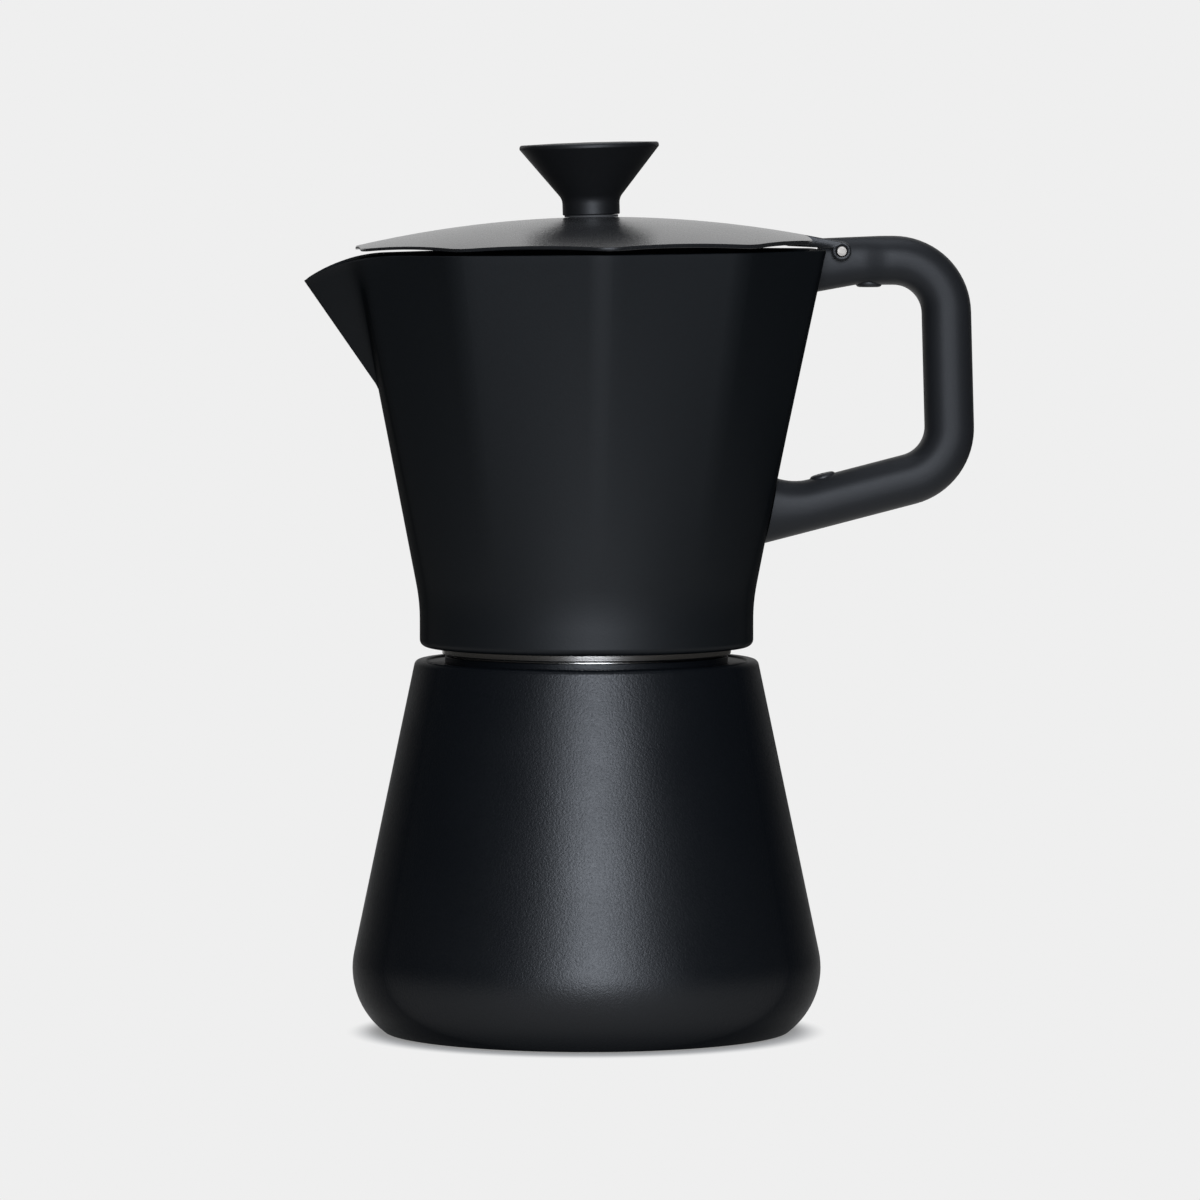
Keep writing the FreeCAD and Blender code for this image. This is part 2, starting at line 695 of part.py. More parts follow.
def valve_stem():
    """Make the plug that closes the inlet and the rod that shows at the valve's end."""
    body = new_piece("valve_stem")
    turn(body, "stem", [
        Corner("0", BORE_FOOT),
        Corner("valve_plug_radius", BORE_FOOT),
        Corner("valve_plug_radius", PLUG_TOP),
        Corner("valve_rod_radius", PLUG_TOP),
        Corner("valve_rod_radius", f"{BARREL_TOP} + valve_rod_proud", "valve_rod_radius / 2"),
        Corner("0", f"{BARREL_TOP} + valve_rod_proud"),
    ])
    lay_on_boiler(body)


def valve_spring():
    """Wind the spring between plug and cap as quarter turns, one unbroken tube."""
    wire = value("spring_wire / 2")
    coil = value("(valve_rod_radius + valve_bore_radius) / 2")
    low = value(f"{PLUG_TOP} + fit") + wire
    high = value(f"{CAP_LOW} - fit") - wire
    quarters = round(4 * value("spring_turns"))
    corners = []
    for step in range(2 * quarters + 1):
        angle = math.radians(45 * step)
        height = low + (high - low) * step / (2 * quarters)
        corners.append(Vector(coil * math.cos(angle), coil * math.sin(angle), height))
    arcs = [Part.Arc(*corners[2 * step:2 * step + 3]).toShape() for step in range(quarters)]
    along = corners[1] - corners[0]
    ring = Part.Wire([Part.Circle(corners[0], along, wire).toShape()])
    spring = doc.addObject("Part::Feature", "valve_spring")
    spring.Label = "valve_spring"
    spring.Shape = Part.Wire(arcs).makePipeShell([ring], True, False)
    spring.Placement = doc.getObject("valve_body").Placement
    pieces.append(spring)
    print("valve_spring least gap between turns", round((high - low) / value("spring_turns") - 2 * wire, 2))


# Funnel
def funnel_basket():
    """Make the basket for the ground coffee, with its rim, strainer ledge and cone."""
    inner = f"({BASKET_RADIUS} - funnel_sheet)"
    rim = "(neck_radius - funnel_rim_set_in)"
    ledge = f"({inner} - ledge_width)"
    socket = "(tube_radius + fit)"
    turn(new_piece("funnel_basket"), "basket", [
        Corner(BASKET_RADIUS, f"{BASKET_FLOOR} - strainer_thickness - funnel_sheet", "basket_rounding"),
        Corner(BASKET_RADIUS, NECK_TOP),
        Corner(rim, NECK_TOP),
        Corner(rim, FUNNEL_TOP),
        Corner(inner, FUNNEL_TOP),
        Corner(inner, f"{BASKET_FLOOR} - strainer_thickness"),
        Corner(ledge, f"{BASKET_FLOOR} - strainer_thickness"),
        Corner(socket, CONE_FOOT),
        Corner(socket, f"{CONE_FOOT} - socket_height"),
        Corner(f"{socket} + funnel_sheet", f"{CONE_FOOT} - socket_height"),
        Corner(f"{socket} + funnel_sheet", f"{CONE_FOOT} - funnel_sheet"),
        Corner(f"{ledge} + funnel_sheet", f"{BASKET_FLOOR} - strainer_thickness - funnel_sheet"),
    ])


def funnel_tube():
    """Make the tube that brings the water up from the boiler's floor."""
    turn(new_piece("funnel_tube"), "tube", box_corners(
        "tube_radius - tube_wall", "tube_radius", f"{FLOOR_TOP} + tube_foot_gap", CONE_FOOT))


def perforated_disc(label, radius, low, thickness, hole):
    """Make a thin disc with rings of holes."""
    body = new_piece(label)
    turn(body, "disc", box_corners("0", radius, low, f"{low} + {thickness}"))
    polar_holes(body, "hole", f"{low}", hole, radius, f"4 * {thickness}")


# Collector
def gasket():
    """Make the sealing ring between funnel and collector."""
    inner = f"({GASKET_RADIUS} - gasket_width)"
    turn(new_piece("gasket"), "ring", [
        Corner(inner, FUNNEL_TOP, "gasket_edge"),
        Corner(GASKET_RADIUS, FUNNEL_TOP, "gasket_edge"),
        Corner(GASKET_RADIUS, GASKET_TOP, "gasket_edge"),
        Corner(inner, GASKET_TOP, "gasket_edge"),
    ])


def collector_shell():
    """Make the collector: round skirt, ten facets, and the beak with its falling lip."""
    body = new_piece("collector_shell")
    bottom = f"({COLLECTOR_BASE} + collector_wall)"
    elbow = f"({COLLECTOR_BASE} + skirt_height)"
    inner = f"({COLLECTOR_RADIUS} - collector_wall)"
    turn(body, "skirt", [
        Corner(f"{COLLAR_RADIUS} + fit", COLLECTOR_BASE),
        Corner(COLLECTOR_RADIUS, COLLECTOR_BASE, "collector_base_rounding"),
        Corner(COLLECTOR_RADIUS, elbow, SKIRT_ROUNDING),
        Corner(FACET_RADIUS, FACET_Z),
        Corner(f"{FACET_RADIUS} - collector_wall", FACET_Z),
        Corner(inner, elbow, SKIRT_ROUNDING),
        Corner(inner, bottom),
        Corner(f"{COLLAR_RADIUS} + fit", bottom),
    ])
    faceted_wall(body, "wall", "0")
    beak(body, "beak", "0")
    faceted_wall(body, "hollow", "collector_wall", "SubtractiveLoft")
    beak(body, "beak_hollow", "collector_wall", "SubtractiveLoft")
    tip_z = f"({RIM} - spout_tip_drop)"
    beyond = f"-2 * {BEAK_REACH}"
    side_cut(body, "lip", [
        Corner(f"-{LIP_START}", RIM, None, "(lip_run ^ 2 + spout_tip_drop ^ 2) / (2 * spout_tip_drop)"),
        Corner(f"-{SPOUT_REACH}", tip_z),
        Corner(beyond, tip_z),
        Corner(beyond, f"{RIM} + spout_depth"),
        Corner(f"-{LIP_START}", f"{RIM} + spout_depth"),
    ], "4 * spout_half_width")


def thread_collar():
    """Make the bare ring inside the collector's foot that carries its thread."""
    low = f"({COLLECTOR_BASE} - collar_drop)"
    turn(new_piece("thread_collar"), "ring", [
        Corner(COLLAR_BORE, low, "collar_edge"),
        Corner(COLLAR_RADIUS, low, "collar_edge"),
        Corner(COLLAR_RADIUS, SEAT),
        Corner(COLLAR_BORE, SEAT),
    ])


def collector_floor():
    """Make the collector's floor: a flat seat that rises in a cone to the column."""
    outer = f"({COLLECTOR_RADIUS} - collector_wall - fit)"
    knee = f"({COLLAR_RADIUS} - floor_seat_width)"
    top = f"({SEAT} + floor_rise)"
    turn(new_piece("collector_floor"), "floor", [
        Corner(knee, SEAT),
        Corner(outer, SEAT),
        Corner(outer, f"{SEAT} + floor_sheet"),
        Corner(knee, f"{SEAT} + floor_sheet"),
        Corner("column_radius", COLUMN_FOOT),
        Corner("column_bore", COLUMN_FOOT),
        Corner("column_bore", top),
        Corner("column_radius - floor_sheet", top),
    ])


def riser_column():
    """Make the column that the coffee rises through, closed above its two outlets."""
    body = new_piece("riser_column")
    top = f"({COLUMN_FOOT} + column_height)"
    turn(body, "column", [
        Corner("column_bore", COLUMN_FOOT),
        Corner("column_radius", COLUMN_FOOT),
        Corner("column_top_radius", top, "column_cap / 2"),
        Corner("0", top),
        Corner("0", f"{top} - column_cap"),
        Corner("column_bore", f"{top} - column_cap"),
    ])
    outlet = new_sketch(body, "outlet_outline", "YZ_Plane")
    low = f"({top} - column_cap - outlet_height)"
    draw_outline(outlet, box_corners("-outlet_width / 2", "outlet_width / 2", low, f"{top} - column_cap"))
    thicken(body, "outlet", outlet, "4 * column_radius", "Pocket", symmetric=True)


# Handle
def upper_arm_section(body, name, reach, droop):
    """Draw the upper arm's section at a distance from the axis, deeper by a droop."""
    sketch = new_sketch(body, name, "YZ_Plane", reach)
    low = f"({ARM_Z} - handle_thickness / 2 - ({droop}))"
    draw_outline(sketch, round_section(low, ARM_TOP))
    return sketch


def round_section(low, high):
    """Return the corners of the handle's rounded section."""
    half = "(handle_width / 2)"
    return [
        Corner(f"-{half}", low, "handle_rounding"),
        Corner(half, low, "handle_rounding"),
        Corner(half, high, "handle_rounding"),
        Corner(f"-{half}", high, "handle_rounding"),
    ]


LOWER_FALL = "tan(handle_arm_lean * 1 deg)"
LOWER_WALL_Z = f"({LOWER_BEND_Z} - handle_lower_run * {LOWER_FALL})"
LOWER_RUN = (f"(({LOWER_REACH} - {wall_reach(LOWER_WALL_Z)} - handle_flare_length)"
             " / cos(handle_arm_lean * 1 deg))")
SCREW_SEAT = "(handle_thickness / 2 + screw_head_proud - screw_head_height)"

# An arm's line: its lean, where the line starts, the side its screw enters from, the screw's place
# along the line, and how far along it lies well inside the collector's wall.
Arm = namedtuple("Arm", "lean across up side screw inside")
UPPER_ARM = Arm("0", "0", ARM_Z, "-1", "rim_apothem + upper_screw_run", COLLECTOR_RADIUS)
LOWER_ARM = Arm("handle_arm_lean", LOWER_REACH, LOWER_BEND_Z, "1", "-lower_screw_run",
                f"({COLLECTOR_RADIUS} - {LOWER_REACH}) / cos(handle_arm_lean * 1 deg)")


def point_on_arm(arm, along, above):
    """Return the formulas of a point along an arm's line and above it, square to the line."""
    across = f"{arm.across} + ({along}) * cos({arm.lean} * 1 deg) - ({above}) * sin({arm.lean} * 1 deg)"
    up = f"{arm.up} + ({along}) * sin({arm.lean} * 1 deg) + ({above}) * cos({arm.lean} * 1 deg)"
    return across, up


def arm_sketch(body, name, arm, along="0"):
    """Attach a sketch of the upright plane whose origin is on an arm's line and turned along it."""
    sketch = new_sketch(body, name, "XZ_Plane")
    turn_sketch(sketch, Vector(0, 0, 1), arm.lean, (*point_on_arm(arm, along, "0"), "0"))
    return sketch


def lower_arm_section(body, name, along, rise):
    """Draw the lower arm's section at a distance down its line from the lower bend."""
    sketch = new_sketch(body, name, "YZ_Plane")
    across, up = point_on_arm(LOWER_ARM, f"-({along})", "0")
    turn_sketch(sketch, Vector(-1, 0, 0), "handle_arm_lean", ("0", up, across))
    draw_outline(sketch, round_section("-handle_thickness / 2", f"(handle_thickness / 2 + {rise})"))
    return sketch


def screw_bore(body, name, arm):
    """Sink a screw's head and shank into a piece on an arm."""
    sketch = arm_sketch(body, f"{name}_profile", arm, arm.screw)
    outside = f"{arm.side} * handle_thickness"
    seat = f"{arm.side} * {SCREW_SEAT}"
    end = f"{arm.side} * ({SCREW_SEAT} - screw_length - fit)"
    draw_outline(sketch, [
        Corner("0", outside),
        Corner("screw_head_radius + fit", outside),
        Corner("screw_head_radius + fit", seat),
        Corner("screw_shank_radius + fit", seat),
        Corner("screw_shank_radius + fit", end),
        Corner("0", end),
    ])
    made = feature(body, "Groove", name, sketch)
    made.ReferenceAxis = (sketch, ["V_Axis"])


def tongue(body, name, arm, margin, kind):
    """Add or cut the bracket's tongue along an arm, grown by a margin on every side."""
    sketch = arm_sketch(body, f"{name}_outline", arm)
    middle = f"{arm.side} * bracket_offset"
    half = f"(bracket_thickness / 2 + {margin})"
    end = f"{arm.screw} + bracket_overhang + {margin}"
    draw_outline(sketch, box_corners(arm.inside, end, f"{middle} - {half}", f"{middle} + {half}"))
    thicken(body, name, sketch, f"bracket_width + 2 * {margin}", kind, symmetric=True)


def bracket(label, arm):
    """Make the steel tongue on the collector's wall that an end of the handle slides over."""
    body = new_piece(label)
    tongue(body, "tongue", arm, "0", "Pad")
    faceted_wall(body, "wall_cut", "-fit", "SubtractiveLoft")
    screw_bore(body, "screw_hole", arm)


def handle():
    """Sweep the looped handle, flare its ends to the wall, and cut its hinge, sockets and screw holes."""
    body = new_piece("handle")
    path = new_sketch(body, "path", "XZ_Plane")
    start = "(rim_apothem + handle_flare_length)"
    draw_outline(path, [
        Corner(start, ARM_Z),
        Corner(HANDLE_REACH, ARM_Z, "handle_bend"),
        Corner(LOWER_REACH, LOWER_BEND_Z, "handle_bend"),
        Corner(*point_on_arm(LOWER_ARM, f"-{LOWER_RUN}", "0")),
    ], closed=False)
    grip = feature(body, "AdditivePipe", "grip", upper_arm_section(body, "grip_section", start, "0"))
    grip.Spine = path
    near = upper_arm_section(body, "upper_near", start, "0")
    far = upper_arm_section(body, "upper_far", "rim_apothem - handle_flare_length", "2 * handle_flare")
    loft(body, "upper_flare", [near, far])
    low_near = lower_arm_section(body, "lower_near", LOWER_RUN, "0")
    low_far = lower_arm_section(body, "lower_far", f"{LOWER_RUN} + 2 * handle_flare_length",
                                "2 * handle_lower_flare")
    loft(body, "lower_flare", [low_near, low_far])
    faceted_wall(body, "wall_cut", "-handle_clearance", "SubtractiveLoft")
    notch_low = f"{RIM} - ear_clearance"
    above = f"{RIM} + handle_thickness"
    side_cut(body, "rim_cut", box_corners("0", CROWN_START, notch_low, above), "2 * handle_width")
    side_cut(body, "crown", [
        Corner(CROWN_START, CROWN_LOW),
        Corner(f"{CROWN_START} + crown_run", ARM_TOP),
        Corner(f"{CROWN_START} + crown_run", above),
        Corner(CROWN_START, above),
    ], "2 * handle_width")
    notch = box_corners("0", f"{HINGE_X} + notch_length", notch_low, above)
    both_sides(body, "notch", "lug_width / 2", "handle_width",
               lambda sketch: draw_outline(sketch, notch), "Pocket")
    both_sides(body, "ear_recess", "lug_width / 2", "handle_width",
               lambda sketch: draw_circle(sketch, HINGE_X, HINGE_Z, "ear_radius + ear_clearance"), "Pocket")
    side_round(body, "pin_bore", HINGE_X, HINGE_Z, "pin_radius + fit", "2 * handle_width")
    for name, arm in (("upper", UPPER_ARM), ("lower", LOWER_ARM)):
        tongue(body, f"{name}_socket", arm, "bracket_clearance", "Pocket")
        screw_bore(body, f"{name}_screw_hole", arm)


def handle_screws():
    """Make the two screws that hold the handle on its brackets, in one group."""
    group = doc.addObject("Part::Compound", "handle_screws")
    group.Label = "handle_screws"
    links = []
    seats = (("upper_screw", UPPER_ARM, "0"), ("lower_screw", LOWER_ARM, "180 - handle_arm_lean"))
    for name, arm, angle in seats:
        screw = doc.addObject("PartDesign::Body", name)
        turn(screw, "screw", [
            Corner("0", "-screw_head_height"),
            Corner("screw_head_radius", "-screw_head_height", "screw_head_height / 2"),
            Corner("screw_head_radius", "0"),
            Corner("screw_shank_radius", "0"),
            Corner("screw_shank_radius", "screw_length"),
            Corner("0", "screw_length"),
        ])
        screw.Placement = Placement(Vector(), Rotation(Vector(0, 1, 0), 1))
        across, up = point_on_arm(arm, arm.screw, f"{arm.side} * {SCREW_SEAT}")
        tie(screw, "Placement.Rotation.Angle", f"({angle}) * 1 deg")
        tie(screw, "Placement.Base.x", across)
        tie(screw, "Placement.Base.z", up)
        links.append(screw)
    group.Links = links
    pieces.append(group)


def hinge_pin():
    """Make the pin through the handle's lug and the lid's ears."""
    body = new_piece("hinge_pin")
    half = f"({EAR_OUTER} + pin_proud)"
    turn(body, "pin", [
        Corner("0", f"-{half}"),
        Corner("pin_radius", f"-{half}", "pin_radius / 2"),
        Corner("pin_radius", half, "pin_radius / 2"),
        Corner("0", half),
    ])
    body.Placement = Placement(Vector(), Rotation(Vector(-1, 0, 0), 90))
    tie(body, "Placement.Base.x", HINGE_X)
    tie(body, "Placement.Base.z", HINGE_Z)


# Lid, upright about its own middle and then set back and tilted about the hinge pin
LID_ROOT = f"({LID_REAR} - strap_length)"


def hang_on_hinge(body):
    """Set a lid piece back towards the handle and let it droop about the hinge pin."""
    body.Placement = Placement(Vector(), Rotation(Vector(0, -1, 0), 1))
    tilt = "lid_tilt * 1 deg"
    tie(body, "Placement.Rotation.Angle", tilt)
    tie(body, "Placement.Base.x", f"{HINGE_X} - {HINGE_IN_LID} * cos({tilt}) + {HINGE_Z} * sin({tilt})")
    tie(body, "Placement.Base.z", f"{HINGE_Z} - {HINGE_IN_LID} * sin({tilt}) - {HINGE_Z} * cos({tilt})")


def lid_underside(reach):
    """Return the formula of the lid's underside at a distance from its middle."""
    return f"({LID_EDGE} + ({LID_CORNER_RADIUS} ^ 2 - ({reach}) ^ 2) / (2 * {LID_DOME}))"


def lid():
    """Make the domed sheet, cut to ten sides, with two straps to eyelets on the hinge pin."""
    body = new_piece("lid")
    turn(body, "dome", [
        Corner("0", f"{LID_APEX} - lid_sheet", None, f"-{LID_DOME}"),
        Corner(LID_CORNER_RADIUS, LID_EDGE),
        Corner(LID_CORNER_RADIUS, f"{LID_EDGE} + lid_sheet", None, LID_DOME),
        Corner("0", LID_APEX),
    ])
    trim = new_sketch(body, "trim_outline", lift=LID_APEX)
    draw_circle(trim, "0", "0", f"2 * {LID_CORNER_RADIUS}")
    rounded_decagon(trim, LID_APOTHEM, "lid_corner", LID_REAR)
    thicken(body, "trim", trim, "4 * lid_rise", "Pocket", symmetric=True)
    strap = [
        Corner(LID_ROOT, lid_underside(LID_ROOT)),
        Corner(f"{LID_REAR} - strap_length / 2", f"{HINGE_Z} + strap_rise"),
        Corner(f"{HINGE_IN_LID} - ear_radius", HINGE_Z),
        Corner(HINGE_IN_LID, f"{HINGE_Z} + ear_radius"),
        Corner(LID_REAR, f"{lid_underside(LID_REAR)} + lid_sheet"),
        Corner(LID_ROOT, f"{lid_underside(LID_ROOT)} + lid_sheet / 2"),
    ]
    both_sides(body, "strap", EAR_INNER, "ear_thickness", lambda sketch: draw_outline(sketch, strap))
    both_sides(body, "eyelet", EAR_INNER, "ear_thickness",
               lambda sketch: draw_circle(sketch, HINGE_IN_LID, HINGE_Z, "ear_radius"))
    side_round(body, "pin_hole", HINGE_IN_LID, HINGE_Z, "pin_radius + pin_clearance", f"4 * {EAR_OUTER}")
    hole = new_sketch(body, "screw_hole_circle", lift=LID_APEX)
    draw_circle(hole, "0", "0", "knob_screw_radius + fit")
    thicken(body, "screw_hole", hole, "4 * lid_sheet", "Pocket", symmetric=True)
    hang_on_hinge(body)


def knob():
    """Make the knob: a short neck that opens in a cone to a flat top."""
    body = new_piece("knob")
    top = f"({KNOB_BASE} + knob_height)"
    bore = "knob_screw_radius + fit"
    turn(body, "knob_form", [
        Corner(bore, KNOB_BASE),
        Corner("knob_neck_radius", KNOB_BASE),
        Corner("knob_neck_radius", f"{KNOB_BASE} + knob_neck_height", "knob_neck_rounding"),
        Corner("knob_radius", f"{top} - knob_edge_height", "knob_edge / 2"),
        Corner("knob_radius", top, "knob_edge"),
        Corner("0", top),
        Corner("0", f"{KNOB_BASE} + knob_screw_depth"),
        Corner(bore, f"{KNOB_BASE} + knob_screw_depth"),
    ])
    hang_on_hinge(body)


def knob_washer():
    """Make the thin washer between knob and lid."""
    body = new_piece("knob_washer")
    turn(body, "ring", box_corners("knob_screw_radius + fit", "knob_washer_radius", LID_APEX, KNOB_BASE))
    hang_on_hinge(body)


def knob_screw():
    """Make the screw that holds the knob from under the lid."""
    body = new_piece("knob_screw")
    seat = f"({LID_APEX} - lid_sheet - fit)"
    end = f"({KNOB_BASE} + knob_screw_depth - fit)"
    turn(body, "screw", [
        Corner("0", f"{seat} - knob_screw_head_height"),
        Corner("knob_screw_head_radius", f"{seat} - knob_screw_head_height", "knob_screw_head_height / 2"),
        Corner("knob_screw_head_radius", seat),
        Corner("knob_screw_radius", seat),
        Corner("knob_screw_radius", end),
        Corner("0", end),
    ])
    hang_on_hinge(body)


def build():
    """Make every piece, in the order the pot is put together."""
    boiler_shell()
    boiler_neck()
    base_disc()
    valve_body()
    valve_ring("valve_washer", "valve_thread_radius + fit", "valve_washer_radius", "0",
               "valve_washer_thickness")
    valve_nut()
    valve_stem()
    valve_ring("valve_cap", "valve_rod_radius + valve_rod_clearance", "valve_bore_radius - fit", CAP_LOW,
               f"{CAP_LOW} + valve_cap_thickness")
    funnel_basket()
    funnel_tube()
    perforated_disc("basket_strainer", f"({BASKET_RADIUS} - funnel_sheet - fit)",
                    f"({BASKET_FLOOR} - strainer_thickness)", "strainer_thickness", "strainer_hole")
    gasket()
    perforated_disc("filter_plate", f"({GASKET_RADIUS} - plate_set_in)", GASKET_TOP, "plate_thickness",
                    "plate_hole")
    collector_shell()
    thread_collar()
    collector_floor()
    riser_column()
    bracket("upper_bracket", UPPER_ARM)
    bracket("lower_bracket", LOWER_ARM)
    handle()
    handle_screws()
    hinge_pin()
    lid()
    knob_washer()
    knob()
    knob_screw()
    doc.recompute()
    valve_spring()
    doc.recompute()


def check():
    """Stop if any object of the document failed or any piece isn't a sound solid."""
    for thing in doc.Objects:
        if "Invalid" in thing.State or "Error" in thing.State:
            raise RuntimeError(f"{thing.Label} failed: {thing.State}")
    for piece in pieces:
        shape = piece.Shape
        if shape.isNull() or not shape.isValid() or not shape.Solids:
            raise RuntimeError(f"{piece.Label} is not a sound solid")


def write():
    """Write each piece to its own file."""
    os.makedirs("parts", exist_ok=True)
    for piece in pieces:
        piece.Shape.exportStep(f"parts/{piece.Label}.step")
        print(piece.Label, len(piece.Shape.Solids), round(piece.Shape.Volume, 1))


build()
check()
write()
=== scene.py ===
"""A stove-top moka pot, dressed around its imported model.

Lengths in the classes are millimetres; meshes are metres in the pot's own frame, with the
base on the floor, the handle along +X and the pouring beak along -X.
"""

import functools
import logging
import math
from dataclasses import dataclass
from enum import Enum, auto
from typing import Callable, Optional, Sequence, Union

import bmesh
import bpy
from bpy.types import Material, Mesh, Node, NodeSocket, NodeTree, Object
from mathutils import Matrix, Vector


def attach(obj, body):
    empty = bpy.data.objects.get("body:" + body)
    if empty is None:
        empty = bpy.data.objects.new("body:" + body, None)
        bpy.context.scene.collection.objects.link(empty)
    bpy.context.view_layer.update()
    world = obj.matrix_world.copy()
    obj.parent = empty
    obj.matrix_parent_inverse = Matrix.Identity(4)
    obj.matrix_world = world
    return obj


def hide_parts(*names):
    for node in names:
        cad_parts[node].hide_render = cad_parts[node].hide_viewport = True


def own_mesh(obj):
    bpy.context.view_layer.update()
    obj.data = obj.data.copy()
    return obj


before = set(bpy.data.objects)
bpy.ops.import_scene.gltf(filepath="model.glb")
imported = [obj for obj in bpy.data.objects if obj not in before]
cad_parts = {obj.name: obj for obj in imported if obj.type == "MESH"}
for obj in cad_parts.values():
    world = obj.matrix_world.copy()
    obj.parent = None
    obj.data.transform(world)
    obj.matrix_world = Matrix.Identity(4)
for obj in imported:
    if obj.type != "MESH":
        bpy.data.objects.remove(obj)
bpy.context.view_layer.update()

LOG = logging.getLogger("moka_pot")
MM = 0.001
UNIT = (0.0, 1.0)
WELD = 1e-7
HALVINGS = 30
WHITE = (1, 1, 1, 1)

Colour = tuple[float, float, float]
Place = tuple[float, float, float]
Point = tuple[float, float]
Feed = Union[NodeSocket, float, tuple]
Feeds = dict[Union[str, int], Feed]


class Slot(Enum):
    """The record's material slots."""

    COAT = "powder_coat"
    STEEL = "bare_steel"
    RESIN = "handle_black"


class Body(Enum):
    """The bodies that carry a piece made here."""

    BOILER = "boiler"
    FUNNEL = "funnel"
    FILTER_PLATE = "filter_plate"
    COLLECTOR = "collector"
    LID = "lid"


class TurnAxis(Enum):
    """The axis that a turned piece was spun about: the two directions across it, then its own."""

    UPRIGHT = (0, 1, 2)
    SIDEWAYS = (0, 2, 1)


class Graph:
    """A node tree that is built one node at a time."""

    def __init__(self, tree: NodeTree) -> None:
        """Keep the tree."""
        self.tree = tree

    def add(self, kind: str, feeds: Optional[Feeds] = None, **settings: object) -> Node:
        """Add a node, set its properties and feed its inputs.

        Args:
            kind: the node's type name.
            feeds: values or sockets by input name or index.
            settings: properties of the node itself.

        Returns:
            The new node.
        """
        node = self.tree.nodes.new(kind)
        for name, setting in settings.items():
            setattr(node, name, setting)
        for name, source in (feeds or {}).items():
            self.feed(node.inputs[name], source)
        return node

    def out(self, kind: str, feeds: Optional[Feeds] = None, **settings: object) -> NodeSocket:
        """Add a node in the same way and return its first output."""
        return self.add(kind, feeds, **settings).outputs[0]

    def feed(self, socket: NodeSocket, source: Feed) -> None:
        """Join a socket to another one, or set its value.

        Args:
            socket: the input to feed.
            source: an output or a value.
        """
        if isinstance(source, NodeSocket):
            self.tree.links.new(source, socket)
        else:
            socket.default_value = source

    def math(self, operation: str, *operands: Feed) -> NodeSocket:
        """Return the result of one math node."""
        return self.out("ShaderNodeMath", dict(enumerate(operands)), operation=operation)

    def ramp(self, value: NodeSocket, start: Point, end: Point, smooth: bool = False) -> NodeSocket:
        """Carry a value from one range over to another, and keep it inside.

        Args:
            value: what is carried over.
            start: the range that it comes from.
            end: the range that it goes to.
            smooth: whether it eases in and out at the limits.

        Returns:
            The value in the new range.
        """
        return self.out("ShaderNodeMapRange", {
            "Value": value, "From Min": start[0], "From Max": start[1], "To Min": end[0], "To Max": end[1]},
            interpolation_type="SMOOTHSTEP" if smooth else "LINEAR")


class Surface(Graph):
    """A material that is built one node at a time, in the pot's own coordinates."""

    def __init__(self, name: str) -> None:
        """Start the material with its shader and coordinates.

        Args:
            name: the material's name.
        """
        self.material = bpy.data.materials.new(name)
        self.material.use_nodes = True
        super().__init__(self.material.node_tree)
        self.shader = self.tree.nodes["Principled BSDF"]
        self.place = self.add("ShaderNodeTexCoord").outputs["Object"]

    def noise(self, size: float, detail: float, roughness: float = 0.5,
              place: Optional[NodeSocket] = None) -> NodeSocket:
        """Return a cloudy pattern from 0 to 1.

        Args:
            size: width of its clouds, in millimetres.
            detail: how many finer patterns are laid over the first.
            roughness: how strong the finer ones are.
            place: coordinates to use in place of the pot's own.

        Returns:
            The pattern's value.
        """
        return self.out("ShaderNodeTexNoise", {
            "Vector": self.place if place is None else place, "Scale": 1 / (size * MM), "Detail": detail,
            "Roughness": roughness})

    def paint(self, share: NodeSocket, first: Colour, second: Colour) -> None:
        """Colour the surface between two tones.

        Args:
            share: how far to go from the first tone to the second.
            first: the tone at 0.
            second: the tone at 1.
        """
        tones = {"Factor": share, 6: (*first, 1), 7: (*second, 1)}
        mixed = self.add("ShaderNodeMix", tones, data_type="RGBA")
        self.feed(self.shader.inputs["Base Color"], mixed.outputs[2])

    def finish(self, feeds: Feeds, relief: NodeSocket, depth: float) -> Material:
        """Feed the shader and raise the surface's relief.

        Args:
            feeds: values or sockets by the shader's input names.
            relief: the surface's height, from 0 to about 1.
            depth: what a height of 1 stands for, in millimetres.

        Returns:
            The finished material.
        """
        bump = self.out("ShaderNodeBump", {"Height": relief, "Strength": 1.0, "Distance": depth * MM})
        for name, source in {**feeds, "Normal": bump}.items():
            self.feed(self.shader.inputs[name], source)
        return self.material


@dataclass(frozen=True)
class PowderCoat:
    """A baked black coat: fine leathery grain, and a sheen that changes towards surfaces seen edge on."""

    name: str
    dark: Colour
    light: Colour
    gloss: Point
    sheen: Point
    grain: float
    depth: float
    turned: float = 1.0
    drift_size: float = 18.0
    fine_share: float = 0.6
    pore_size: float = 2.2
    pore_share: float = 0.2

    def build(self) -> Material:
        """Build the coat.

        Returns:
            The coat as a node material.
        """
        surface = Surface(self.name)
        fine = surface.noise(self.grain, 2.0, 0.6)
        drift = surface.noise(self.drift_size, 3.0)
        pores = surface.out("ShaderNodeTexVoronoi", {
            "Vector": surface.place, "Scale": 1 / (self.pore_size * self.grain * MM)}, feature="F1")
        surface.paint(fine, self.dark, self.light)
        speckle = surface.math("ADD", surface.math("MULTIPLY", drift, 1 - self.fine_share),
                               surface.math("MULTIPLY", fine, self.fine_share))
        edge = surface.add("ShaderNodeLayerWeight", {"Blend": 0.5}).outputs["Facing"]
        relief = surface.math("ADD", fine, surface.math("MULTIPLY", pores, self.pore_share))
        return surface.finish({
            "Roughness": surface.ramp(speckle, UNIT, self.gloss),
            "Specular IOR Level": surface.ramp(edge, (0.0, self.turned), self.sheen)}, relief, self.depth)


